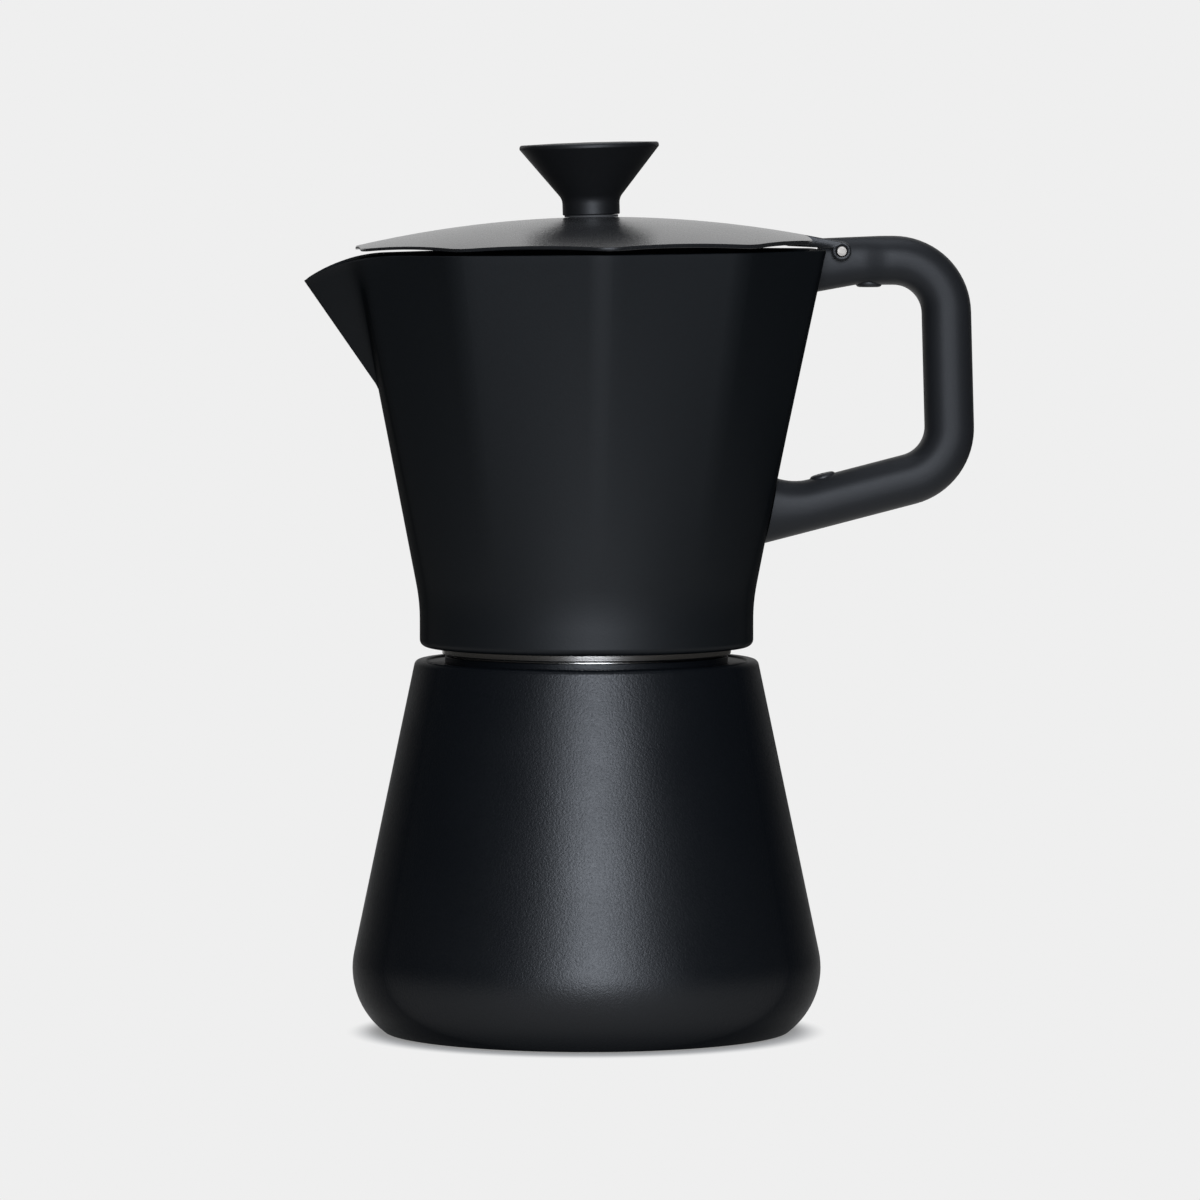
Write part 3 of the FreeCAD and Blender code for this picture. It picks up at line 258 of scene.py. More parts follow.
@dataclass(frozen=True)
class TurnedMetal:
    """Bare metal with the fine rings of a lathe or spinning tool."""

    name: str
    colour: Colour
    stain: Colour
    gloss: Point
    ring_pitch: float
    ring_depth: float
    axis: TurnAxis = TurnAxis.UPRIGHT
    stain_size: float = 9.0

    def build(self) -> Material:
        """Build the metal.

        Returns:
            The metal as a node material.
        """
        surface = Surface(self.name)
        parts = surface.add("ShaderNodeSeparateXYZ", {"Vector": surface.place}).outputs
        first, second, along = (parts[index] for index in self.axis.value)
        across = surface.math("SQRT", surface.math("ADD", surface.math("MULTIPLY", first, first),
                                                   surface.math("MULTIPLY", second, second)))
        rings = surface.out("ShaderNodeCombineXYZ", {"X": across, "Y": along})
        marks = surface.noise(self.ring_pitch, 3.0, place=rings)
        surface.paint(surface.noise(self.stain_size, 4.0), self.colour, self.stain)
        return surface.finish({"Metallic": 1.0, "Roughness": surface.ramp(marks, UNIT, self.gloss)},
                              marks, self.ring_depth)


@dataclass(frozen=True)
class SoftMoulding:
    """A moulded resin or rubber with a matt spark-eroded grain."""

    name: str
    colour: Colour
    worn: Colour
    gloss: Point
    specular: float
    grain: float
    depth: float
    cloud_size: float = 12.0

    def build(self) -> Material:
        """Build the moulding.

        Returns:
            The moulding as a node material.
        """
        surface = Surface(self.name)
        grain = surface.noise(self.grain, 4.0, 0.65)
        surface.paint(surface.noise(self.cloud_size, 3.0), self.colour, self.worn)
        return surface.finish({"Roughness": surface.ramp(grain, UNIT, self.gloss),
                               "Specular IOR Level": self.specular}, grain, self.depth)


class Finish(Enum):
    """Every way that a surface of the pot looks."""

    BOILER_COAT = PowderCoat(
        "boiler_coat", (0.0022, 0.0028, 0.0037), (0.0034, 0.0042, 0.0054), (0.25, 0.55), (0.3, 0.015),
        grain=0.42, depth=0.06, turned=0.5)
    COLLECTOR_COAT = PowderCoat(
        "collector_coat", (0.0028, 0.0036, 0.0044), (0.0038, 0.0048, 0.0058), (0.52, 0.58), (0.27, 0.01),
        grain=0.5, depth=0.018, turned=0.7)
    LID_COAT = PowderCoat(
        "lid_coat", (0.006, 0.0062, 0.0066), (0.009, 0.0093, 0.0099), (0.22, 0.32), (0.1, 1.8),
        grain=0.36, depth=0.02, turned=0.7)
    SCREW_COAT = PowderCoat(
        "screw_coat", (0.010, 0.010, 0.011), (0.014, 0.014, 0.015), (0.42, 0.50), (0.4, 0.2),
        grain=0.4, depth=0.01)
    STEEL = TurnedMetal(
        "turned_steel", (0.64, 0.62, 0.59), (0.54, 0.51, 0.47), (0.16, 0.30), 0.35, 0.006)
    SPUN_STEEL = TurnedMetal(
        "spun_steel", (0.66, 0.65, 0.63), (0.60, 0.58, 0.56), (0.22, 0.38), 0.5, 0.01)
    PIN_STEEL = TurnedMetal(
        "pin_steel", (0.74, 0.74, 0.73), (0.62, 0.62, 0.61), (0.18, 0.30), 0.25, 0.004, TurnAxis.SIDEWAYS)
    HINGE_STEEL = TurnedMetal(
        "hinge_steel", (0.27, 0.25, 0.22), (0.11, 0.10, 0.09), (0.32, 0.54), 0.7, 0.02, TurnAxis.SIDEWAYS)
    BRASS = TurnedMetal(
        "valve_brass", (0.72, 0.54, 0.25), (0.60, 0.42, 0.19), (0.20, 0.34), 0.3, 0.006, TurnAxis.SIDEWAYS)
    SILICONE = SoftMoulding(
        "gasket_silicone", (0.74, 0.73, 0.70), (0.68, 0.67, 0.63), (0.45, 0.60), 0.4, 0.6, 0.01)
    DARK_RUBBER = SoftMoulding(
        "washer_rubber", (0.03, 0.03, 0.03), (0.04, 0.04, 0.04), (0.55, 0.70), 0.3, 0.5, 0.01)
    HANDLE_RESIN = SoftMoulding(
        "handle_resin", (0.0085, 0.0090, 0.0100), (0.0105, 0.0110, 0.0120), (0.44, 0.56), 0.2, 0.4, 0.02)
    KNOB_RESIN = SoftMoulding(
        "knob_resin", (0.0034, 0.0036, 0.0040), (0.0046, 0.0048, 0.0052), (0.46, 0.56), 0.32, 0.45, 0.015)

    @functools.cache
    def material(self) -> Material:
        """Return the finish's material, which is built once."""
        return self.value.build()


def bisect(low: float, high: float, short: Callable[[float], bool]) -> float:
    """Find where a test that holds at the lower end stops holding.

    Args:
        low: the lower end.
        high: the upper end.
        short: whether a value still falls short of the place.

    Returns:
        The place.
    """
    for _ in range(HALVINGS):
        middle = (low + high) / 2
        if short(middle):
            low = middle
        else:
            high = middle
    return low


@dataclass(frozen=True)
class Bend:
    """A corner of an outline: distance from the axis, height and rounding."""

    across: float
    up: float
    rounding: float = 0.0


def rounded_outline(bends: Sequence[Bend], closed: bool = True, turn_step: float = 9.0) -> list[Point]:
    """Draw an outline with an arc at every rounded corner.

    Args:
        bends: the corners in order.
        closed: whether the last corner joins the first.
        turn_step: degrees of turning between two points of an arc.

    Returns:
        Points as distance from the axis and height.
    """
    points: list[Point] = []
    count = len(bends)
    for index, bend in enumerate(bends):
        near = (bend, bends[index - 1], bends[(index + 1) % count])
        at, last, following = (Vector((corner.across, corner.up)) for corner in near)
        at_end = not closed and index in (0, count - 1)
        if bend.rounding == 0 or at_end:
            points.append((at.x, at.y))
            continue
        back = (last - at).normalized()
        ahead = (following - at).normalized()
        half = back.angle(ahead) / 2
        centre = at + (back + ahead).normalized() * (bend.rounding / math.sin(half))
        start = at + back * (bend.rounding / math.tan(half)) - centre
        turned = math.pi - 2 * half
        if back.x * ahead.y - back.y * ahead.x > 0:
            turned = -turned
        steps = max(2, math.ceil(abs(math.degrees(turned)) / turn_step))
        for step in range(steps + 1):
            angle = turned * step / steps
            x = start.x * math.cos(angle) - start.y * math.sin(angle)
            y = start.x * math.sin(angle) + start.y * math.cos(angle)
            points.append((centre.x + x, centre.y + y))
    return points


def standing(outline: Sequence[Point], ray: Vector) -> list[Vector]:
    """Return an outline's points upright in one direction from the axis."""
    return [ray * across + Vector((0, 0, up)) for across, up in outline]


def mesh_of(name: str, bm: bmesh.types.BMesh) -> Mesh:
    """Turn a bmesh into a mesh with outward faces.

    Args:
        name: the mesh's name.
        bm: the faces, which are freed.

    Returns:
        The mesh.
    """
    bmesh.ops.recalc_face_normals(bm, faces=bm.faces)
    mesh = bpy.data.meshes.new(name)
    bm.to_mesh(mesh)
    bm.free()
    return mesh


def skin(name: str, loops: Sequence[Sequence[Vector]], capped: bool = False) -> Mesh:
    """Skin a row of closed outlines that all have as many points, and weld what falls together.

    Args:
        name: the mesh's name.
        loops: outlines in order along or round the piece, in millimetres.
        capped: whether the row ends in two caps, where it would else come round to its start.

    Returns:
        The skinned mesh.
    """
    bm = bmesh.new()
    rows = [[bm.verts.new(point * MM) for point in loop] for loop in loops]
    for row, other in zip(rows, rows[1:] if capped else rows[1:] + rows[:1]):
        for index, vert in enumerate(row):
            bm.faces.new((row[index - 1], other[index - 1], other[index], vert))
    if capped:
        bm.faces.new(rows[0])
        bm.faces.new(rows[-1])
    bmesh.ops.remove_doubles(bm, verts=bm.verts, dist=WELD)
    bmesh.ops.dissolve_degenerate(bm, dist=WELD / 10, edges=bm.edges)
    return mesh_of(name, bm)


def lathe(name: str, bends: Sequence[Bend], segments: int = 192, turn_step: float = 9.0,
          place: Optional[Matrix] = None) -> Mesh:
    """Turn a rounded outline about the upright axis.

    Args:
        name: the mesh's name.
        bends: the outline's corners.
        segments: steps round the axis.
        turn_step: degrees of turning between two points of a rounded corner.
        place: where the turned piece goes, in metres.

    Returns:
        The turned mesh.
    """
    outline = rounded_outline(bends, turn_step=turn_step)
    loops = []
    for step in range(segments):
        angle = 2 * math.pi * step / segments
        loops.append(standing(outline, Vector((math.cos(angle), math.sin(angle), 0))))
    mesh = skin(name, loops)
    if place is not None:
        mesh.transform(place)
    return mesh


def join_meshes(name: str, meshes: Sequence[Mesh]) -> Mesh:
    """Join several meshes, which are used up.

    Args:
        name: the joined mesh's name.
        meshes: the parts.

    Returns:
        One mesh.
    """
    bm = bmesh.new()
    for mesh in meshes:
        bm.from_mesh(mesh)
        bpy.data.meshes.remove(mesh)
    return mesh_of(name, bm)


def add_object(name: str, data: bpy.types.ID) -> Object:
    """Show a mesh, a lamp or a camera in the scene.

    Args:
        name: the new object's name.
        data: what it shows.

    Returns:
        The new object.
    """
    obj = bpy.data.objects.new(name, data)
    bpy.context.scene.collection.objects.link(obj)
    return obj


def remove_object(obj: Object) -> None:
    """Take an object and its mesh out of the scene.

    Args:
        obj: the object.
    """
    mesh = obj.data
    bpy.data.objects.remove(obj)
    bpy.data.meshes.remove(mesh)


def evaluated_mesh(obj: Object) -> Mesh:
    """Take an object out of the scene and keep what its modifiers make of it.

    Args:
        obj: the object.

    Returns:
        The result as a plain mesh.
    """
    bpy.context.view_layer.update()
    evaluated = obj.evaluated_get(bpy.context.evaluated_depsgraph_get())
    result = bpy.data.meshes.new_from_object(evaluated)
    remove_object(obj)
    return result


def dress(name: str, mesh: Mesh, body: Body, finish: Finish, node: str,
          sharp: float = 32.0) -> Object:
    """Make a mesh one of the pot's pieces: smooth it, paint it, and tie it to its body and CAD node.

    Args:
        name: the piece's name.
        mesh: its shape, in place in the pot's frame.
        body: what it moves with.
        finish: how it looks.
        node: the CAD node that it stands for.
        sharp: degrees above which an edge stays sharp.

    Returns:
        The piece.
    """
    piece = add_object(name, mesh)
    mesh.shade_smooth()
    mesh.set_sharp_from_angle(angle=math.radians(sharp))
    mesh.materials.clear()
    mesh.materials.append(finish.material())
    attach(piece, body.value)
    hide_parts(node)
    LOG.info("%s stands for %s", name, node)
    return piece


def paint_nodes(finish: Finish, *nodes: str) -> None:
    """Give CAD nodes that keep their shape a better material.

    Args:
        finish: how they look.
        nodes: the nodes' names.
    """
    for node in nodes:
        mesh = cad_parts[node].data
        mesh.materials.clear()
        mesh.materials.append(finish.material())
        LOG.info("%s keeps its shape", node)


class GeometryTree(Graph):
    """A geometry tree with named inputs that ends in real faces and a material."""

    def __init__(self, name: str, **inputs: str) -> None:
        """Make the tree's sockets.

        Args:
            name: the tree's name.
            inputs: kinds of socket by input name.
        """
        super().__init__(bpy.data.node_groups.new(name, "GeometryNodeTree"))
        for label, kind in {"Geometry": "Geometry", **inputs, "Material": "Material"}.items():
            self.tree.interface.new_socket(label, in_out="INPUT", socket_type=f"NodeSocket{kind}")
        self.tree.interface.new_socket("Geometry", in_out="OUTPUT", socket_type="NodeSocketGeometry")
        self.given = self.add("NodeGroupInput").outputs

    def end(self, geometry: NodeSocket) -> NodeTree:
        """Realise the geometry and give it the input material.

        Args:
            geometry: what the tree has made.

        Returns:
            The finished tree.
        """
        real = self.out("GeometryNodeRealizeInstances", {"Geometry": geometry})
        painted = self.out("GeometryNodeSetMaterial", {"Geometry": real, "Material": self.given["Material"]})
        self.add("NodeGroupOutput", {"Geometry": painted})
        return self.tree


def run_tree(mesh: Mesh, tree: NodeTree, finish: Finish, **sizes: object) -> Mesh:
    """Run a geometry tree on a mesh.

    Args:
        mesh: what the tree starts from; it is used up.
        tree: the geometry tree.
        finish: the material for the result.
        sizes: the tree's other inputs by name.

    Returns:
        The result as a plain mesh.
    """
    blank = add_object(tree.name, mesh)
    modifier = blank.modifiers.new(tree.name, "NODES")
    modifier.node_group = tree
    sockets = {item.name: item.identifier for item in tree.interface.items_tree if item.in_out == "INPUT"}
    for name, size in {**sizes, "Material": finish.material()}.items():
        modifier[sockets[name]] = size
    return evaluated_mesh(blank)


@functools.cache
def thread_tree() -> NodeTree:
    """Build a tree that winds a ridge with tapering ends round a ring: a screw thread or a spring.

    Returns:
        The tree, which is built once.
    """
    steps_a_turn = 96
    end_taper = 14.0
    tree = GeometryTree("screw_thread", Radius="Float", Pitch="Float", Turns="Float", Depth="Float",
                        Foot="Float", Sides="Int")
    given = tree.given
    spiral = tree.out("GeometryNodeCurveSpiral", {
        "Resolution": steps_a_turn, "Rotations": given["Turns"], "Start Radius": given["Radius"],
        "End Radius": given["Radius"], "Height": tree.math("MULTIPLY", given["Pitch"], given["Turns"])})
    lift = tree.out("ShaderNodeCombineXYZ", {"Z": given["Foot"]})
    moved = tree.out("GeometryNodeTransform", {"Geometry": spiral, "Translation": lift})
    upright = tree.out("GeometryNodeSetCurveNormal", {"Curve": moved}, mode="Z_UP")
    along = tree.out("GeometryNodeSplineParameter")
    ends = tree.math("MINIMUM", along, tree.math("SUBTRACT", 1.0, along))
    taper = tree.math("MINIMUM", tree.math("MULTIPLY", ends, end_taper), 1.0)
    ridge = tree.out("GeometryNodeCurvePrimitiveCircle", {
        "Resolution": given["Sides"], "Radius": given["Depth"]})
    swept = tree.out("GeometryNodeCurveToMesh", {
        "Curve": upright, "Profile Curve": ridge, "Scale": taper, "Fill Caps": True})
    joined = tree.add("GeometryNodeJoinGeometry", {0: swept})
    tree.feed(joined.inputs[0], given["Geometry"])
    return tree.end(joined.outputs[0])


def wind(mesh: Mesh, finish: Finish, turns: float, sides: int = 4, **lengths: float) -> Mesh:
    """Return a mesh with a ridge wound round it, whose lengths are in millimetres."""
    sizes = {name: length * MM for name, length in lengths.items()}
    return run_tree(mesh, thread_tree(), finish, Turns=turns, Sides=sides, **sizes)


def perforation_tree() -> NodeTree:
    """Build a tree that punches rings of round holes through a disc, six more in each ring.

    Returns:
        The tree.
    """
    tree = GeometryTree("perforation", Rings="Int", Spacing="Float", Hole="Float", Depth="Float",
                        Level="Float")
    given = tree.given

    def inside(ring: NodeSocket) -> NodeSocket:
        """Return how many holes lie inside a ring."""
        return tree.math("ADD", 1.0, tree.math("MULTIPLY", 3.0, tree.math(
            "MULTIPLY", ring, tree.math("SUBTRACT", ring, 1.0))))

    count = inside(tree.math("ADD", given["Rings"], 1.0))
    index = tree.out("GeometryNodeInputIndex")
    root = tree.math("SQRT", tree.math("ADD", 9.0, tree.math("MULTIPLY", 12.0, index)))
    ring = tree.math("CEIL", tree.math("SUBTRACT", tree.math("DIVIDE", tree.math(
        "SUBTRACT", root, 3.0), 6.0), 1e-4))
    step = tree.math("DIVIDE", tree.math("SUBTRACT", index, inside(ring)), tree.math(
        "MAXIMUM", 1.0, tree.math("MULTIPLY", 6.0, ring)))
    angle = tree.math("MULTIPLY", step, 2 * math.pi)
    reach = tree.math("MULTIPLY", ring, given["Spacing"])
    place = tree.out("ShaderNodeCombineXYZ", {
        "X": tree.math("MULTIPLY", reach, tree.math("COSINE", angle)),
        "Y": tree.math("MULTIPLY", reach, tree.math("SINE", angle)), "Z": given["Level"]})
    points = tree.out("GeometryNodePoints", {"Count": count, "Position": place})
    punch = tree.out("GeometryNodeMeshCylinder", {
        "Vertices": 12, "Radius": given["Hole"], "Depth": given["Depth"]})
    punches = tree.out("GeometryNodeInstanceOnPoints", {"Points": points, "Instance": punch})
    solid = tree.out("GeometryNodeRealizeInstances", {"Geometry": punches})
    return tree.end(tree.out("GeometryNodeMeshBoolean", {"Mesh 1": given["Geometry"], "Mesh 2": solid},
                             operation="DIFFERENCE"))


def scatter_tree() -> NodeTree:
    """Build a tree that sets a prototype on each point, turned by the point's own angles.

    Returns:
        The tree.
    """
    tree = GeometryTree("seated_screws", Prototype="Object")
    turn = tree.out("GeometryNodeInputNamedAttribute", {"Name": "turn"}, data_type="FLOAT_VECTOR")
    shape = tree.add("GeometryNodeObjectInfo", {"Object": tree.given["Prototype"]})
    return tree.end(tree.out("GeometryNodeInstanceOnPoints", {
        "Points": tree.given["Geometry"], "Instance": shape.outputs["Geometry"],
        "Rotation": tree.out("FunctionNodeEulerToRotation", {"Euler": turn})}))


@dataclass(frozen=True)
class Screw:
    """A pan-head screw with a cross for a screwdriver, head up, its seat at the origin."""

    head_radius: float
    head_height: float
    shank_radius: float
    shank_length: float
    slot_width: float
    slot_length: float
    slot_depth: float
    slot_foot: float = 0.45
    tool_rise: float = 2 / 3

    def cross(self) -> Mesh:
        """Make the tool that cuts the cross.

        Returns:
            Two crossed wedges, narrower at the foot, that stand out of the head.
        """
        bm = bmesh.new()
        for turn in (0, 90):
            made = bmesh.ops.create_cube(bm, size=1.0)["verts"]
            for vert in made:
                above = vert.co.z > 0
                share = 1.0 if above else self.slot_foot
                rise = self.slot_depth * (self.tool_rise if above else -1)
                vert.co = Vector((vert.co.x * self.slot_length * share, vert.co.y * self.slot_width * share,
                                  self.head_height + rise)) * MM
            bmesh.ops.rotate(bm, verts=made, matrix=Matrix.Rotation(math.radians(turn), 3, "Z"))
        return mesh_of("cross", bm)

    def mesh(self) -> Mesh:
        """Turn the screw and cut its cross.

        Returns:
            The screw.
        """
        screw = add_object("screw", lathe("screw", [
            Bend(0, self.head_height), Bend(self.head_radius, self.head_height, self.head_height / 2),
            Bend(self.head_radius, 0), Bend(self.shank_radius, 0),
            Bend(self.shank_radius, -self.shank_length), Bend(0, -self.shank_length)], segments=48))
        tool = add_object("cross", self.cross())
        cut = screw.modifiers.new("cross", "BOOLEAN")
        cut.object = tool
        cut.operation = "DIFFERENCE"
        cut.solver = "EXACT"
        cut.use_self = True
        result = evaluated_mesh(screw)
        remove_object(tool)
        return result


@dataclass
class FacetedRim:
    """A ten-sided outline with rounded corners and a flat facing the handle."""

    apothem: float
    corner: float
    facets: int = 10
    fine_step: float = 0.6
    coarse_step: float = 2.4
    fine_span: float = 4.6

    def radius(self, angle: float, inset: float = 0.0) -> float:
        """Measure the outline's distance from the axis.

        Args:
            angle: direction from +X, in radians.
            inset: how far the outline is moved in.

        Returns:
            The distance.
        """
        half = math.pi / self.facets
        turn = abs((angle - half) % (2 * half))
        from_corner = min(turn, 2 * half - turn)
        apothem = self.apothem - inset
        corner = self.corner - inset
        spread = math.atan((apothem - corner) * math.tan(half) / apothem)
        if from_corner >= half - spread:
            return apothem / math.cos(half - from_corner)
        centre = (apothem - corner) / math.cos(half)
        off = centre * math.sin(from_corner)
        return centre * math.cos(from_corner) + math.sqrt(corner ** 2 - off ** 2)

    def stations(self, last: float) -> list[float]:
        """List the directions of a mesh's columns from the handle's side up to a last one.

        Args:
            last: the last direction, in degrees.

        Returns:
            Directions in degrees, closer together at the rounded corners.
        """
        half = 180 / self.facets
        found = []
        angle = 0.0
        while angle < last - self.fine_step / 2:
            found.append(angle)
            turn = (angle - half) % (2 * half)
            near = min(turn, 2 * half - turn) < self.fine_span
            angle = round(angle + (self.fine_step if near else self.coarse_step), 6)
        return found


class Zone(Enum):
    """The parts of the collector's wall, by how a column of the mesh finds its direction."""

    FIXED = auto()
    BESIDE = auto()
    BEAK = auto()


Column = tuple[Zone, float]


@dataclass
class Collector:
    """The upper vessel: round skirt, ten facets, pouring beak, collar, floor and column."""

    base: float = 86.65
    base_radius: float = 37.4
    base_rounding: float = 1.6
    skirt_height: float = 9.95
    skirt_rounding: float = 42.0
    facet_start: float = 14.45
    apothem: float = 52.4
    corner: float = 11.0
    rim: float = 175.0
    rim_lean: float = 0.01
    rim_edge: float = 0.4
    tip_edge_share: float = 0.15
    wall: float = 1.0
    collar_hole: float = 32.45
    spout_depth: float = 30.8
    spout_reach: float = 63.3
    spout_tip_drop: float = 6.45
    spout_half_width: float = 16.9
    spout_root_half_width: float = 0.8
    spout_root_set_in: float = 0.6
    spout_ridge: float = 2.0
    spout_root_ridge_share: float = 0.1
    spout_blend: float = 4.0
    crease_least: float = 0.8
    crease_most: float = 24.0
    lip_start: float = 43.0
    seat: float = 95.0
    collar_bore: float = 31.5
    collar_crest: float = 30.97
    collar_radius: float = 32.4
    collar_foot: float = 84.95
    collar_edge: float = 0.4
    thread_pitch: float = 4.0
    thread_turns: float = 1.6
    thread_foot: float = 1.4
    rows: int = 44
    beside_columns: int = 30
    fixed_span: float = 148.0

    def __post_init__(self) -> None:
        """Work out what the shape's formulas share."""
        self.faceted = FacetedRim(self.apothem, self.corner)
        self.facet_z = self.base + self.facet_start
        self.facet_rise = self.rim - self.facet_z
        self.flare = (self.apothem - self.base_radius) / (self.rim - self.base - self.skirt_height)
        self.facet_radius = self.base_radius + (self.facet_start - self.skirt_height) * self.flare
        self.root_reach = self.wall_reach(self.rim - self.spout_depth) - self.spout_root_set_in
        slope = (self.spout_reach - self.root_reach) / (self.spout_depth - self.spout_tip_drop)
        self.beak_reach = self.spout_reach + self.spout_tip_drop * slope

    def wall_reach(self, height: float) -> float:
        """Return the wall's distance from the axis at the middle of a facet."""
        return self.base_radius + (height - self.base - self.skirt_height) * self.flare

    def beak_share(self, height: float) -> float:
        """Return how far up the beak a height lies: 0 at its root, 1 at the rim."""
        return (height - self.rim + self.spout_depth) / self.spout_depth

    def wall_radius(self, angle: float, height: float, inset: float) -> float:
        """Return the faceted wall's distance from the axis, where an inset moves the wall in."""
        foot = self.facet_radius - inset
        return foot + (self.faceted.radius(angle, inset) - foot) * (height - self.facet_z) / self.facet_rise

    def beak_radius(self, turn: float, height: float, inset: float) -> float:
        """Measure the beak's distance from the axis.

        Args:
            turn: direction from the beak's own, in radians.
            height: height above the floor.
            inset: how far the beak's sides are moved in.

        Returns:
            The distance, or 0 below the beak's root.
        """
        share = self.beak_share(height)
        if share <= 0:
            return 0.0
        slant = math.hypot(1, (self.beak_reach - self.apothem) / self.spout_half_width)
        shift = inset * slant
        apex = self.root_reach + (self.beak_reach - self.root_reach) * share + self.wall / 2 - shift
        wall = self.root_reach + (self.apothem - self.root_reach) * share - self.wall / 2 - shift
        half = self.spout_root_half_width + (self.spout_half_width - self.spout_root_half_width) * share
        root_share = self.spout_root_ridge_share
        ridge = self.spout_ridge * (root_share + (1 - root_share) * share)
        lean = math.atan2(half, apex - wall)
        middle = apex - ridge / math.sin(lean)
        tangent = math.atan2(ridge * math.cos(lean), middle + ridge * math.sin(lean))
        if abs(turn) < tangent:
            off = middle * math.sin(turn)
            return middle * math.cos(turn) + math.sqrt(max(0.0, ridge ** 2 - off ** 2))
        return apex / (math.cos(turn) + math.sin(abs(turn)) / math.tan(lean))

    def crease(self, height: float, inset: float) -> float:
        """Find where the beak meets the wall.

        Args:
            height: height above the floor.
            inset: how far both are moved in.

        Returns:
            The half angle between the two creases, in radians.
        """
        def on_beak(turn: float) -> bool:
            """Return whether the beak stands out of the wall in a direction."""
            return self.beak_radius(turn, height, inset) > self.wall_radius(math.pi - turn, height, inset)

        least = math.radians(self.crease_least)
        return bisect(least, math.radians(self.crease_most), on_beak) if on_beak(least) else least

    def blended(self, wall: float, beak: float, height: float) -> float:
        """Take the larger of two distances, rounded off where wall and beak meet.

        Args:
            wall: the wall's distance from the axis.
            beak: the beak's distance from the axis.
            height: height above the floor, because the rounding grows upwards from the beak's root.

        Returns:
            The distance.
        """
        reach = self.spout_blend * max(0.0, self.beak_share(height))
        near = max(0.0, reach - abs(wall - beak))
        return max(wall, beak) + (near * near / (4 * reach) if near else 0.0)

    def lip_height(self, across: float) -> float:
        """Measure the height of the rim, which leans a little, and of the beak's falling lip.

        Args:
            across: distance from the axis towards the handle.

        Returns:
            The height above the floor.
        """
        level = self.rim + self.rim_lean * across
        run = -across - self.lip_start
        if run <= 0:
            return level
        length = self.spout_reach - self.lip_start
        drop = self.spout_tip_drop - self.rim_lean * self.spout_reach
        radius = (length ** 2 + drop ** 2) / (2 * drop)
        return level - (radius - math.sqrt(max(0.0, radius ** 2 - run ** 2)))

    def columns(self) -> list[Column]:
        """List the mesh's columns: fixed directions, shares of the span beside the beak, and of the beak.

        Returns:
            Pairs of a zone and a number, in order from the handle round by the camera's side.
        """
        fixed = [(Zone.FIXED, angle) for angle in self.faceted.stations(self.fixed_span)]
        beside = [(Zone.BESIDE, step / self.beside_columns) for step in range(self.beside_columns)]
        shares = [1.0, 0.93, 0.85, 0.75, 0.64, 0.52, 0.4, 0.28, 0.18, 0.11, 0.07, 0.05, 0.035, 0.02]
        half = fixed + beside + [(Zone.BEAK, share) for share in shares]
        mirrored = [(zone, -number) for zone, number in half[:0:-1]]
        return half + [(Zone.BEAK, 0.0)] + mirrored

    def point(self, column: Column, height: float, inset: float) -> Vector:
        """Find where a column lies on the wall or beak.

        Args:
            column: the column's zone and number, which is negative on the far side.
            height: height above the floor.
            inset: how far the wall is moved in.

        Returns:
            The point in millimetres.
        """
        zone, number = column
        size = abs(number)
        if zone is Zone.FIXED:
            angle = math.radians(size)
            radius = self.wall_radius(angle, height, inset)
        else:
            crease = self.crease(height, inset)
            start = math.radians(self.fixed_span)
            angle = math.pi - crease * size
            if zone is Zone.BESIDE:
                angle = start + (math.pi - crease - start) * size
            radius = self.blended(self.wall_radius(angle, height, inset),
                                  self.beak_radius(math.pi - angle, height, inset), height)
        return Vector((radius * math.cos(angle), math.copysign(radius * math.sin(angle), number), height))

    def top(self, column: Column, inset: float) -> float:
        """Return the height at which a column meets the rim or the falling lip."""
        return bisect(self.rim - 2 * self.spout_tip_drop, self.rim + self.rim_lean * self.spout_reach,
                      lambda height: self.lip_height(self.point(column, height, inset).x) > height)

    def skirt(self, inset: float, foot: Sequence[Bend]) -> list[Point]:
        """Draw the round skirt's outline from the foot up to where the facets start.

        Args:
            inset: how far the skirt is moved in.
            foot: the corners of its foot.

        Returns:
            Points as distance from the axis and height, without the last one.
        """
        elbow = Bend(self.base_radius - inset, self.base + self.skirt_height, self.skirt_rounding)
        end = Bend(self.facet_radius - inset, self.facet_z)
        return rounded_outline([*foot, elbow, end], closed=False, turn_step=1.5)[:-1]

    def climb(self, column: Column, inset: float, top: float) -> list[Vector]:
        """Return a column's points from the start of the facets up to a height."""
        heights = [self.facet_z + (top - self.facet_z) * row / self.rows for row in range(self.rows + 1)]
        return [self.point(column, height, inset) for height in heights]

    def edge_size(self, column: Column) -> float:
        """Return the rounding of a column's upper edge, which gets sharper towards the beak's tip."""
        least = self.tip_edge_share if column[0] is Zone.BEAK else 1.0
        return self.rim_edge * (least + (1 - least) * abs(column[1]) ** 0.5)

    def rim_points(self, column: Column, outer_top: float, inner_top: float) -> list[Vector]:
        """Roll the edge between the outer and the inner face of a column.

        Args:
            column: the column's zone and number.
            outer_top: the outer face's upper end.
            inner_top: the inner face's upper end.

        Returns:
            Points from the outer face to the inner one.
        """
        outer = self.point(column, outer_top, 0.0)
        inner = self.point(column, inner_top, self.wall)
        inward = Vector(((inner - outer).x, (inner - outer).y, 0)).normalized()
        edge = self.edge_size(column)
        roll = []
        for angle in map(math.radians, (30, 60, 90)):
            roll.append((inward * edge * (1 - math.cos(angle)), Vector((0, 0, edge * (1 - math.sin(angle))))))
        return [outer + run - fall for run, fall in roll] + [inner - run - fall for run, fall in roll[::-1]]

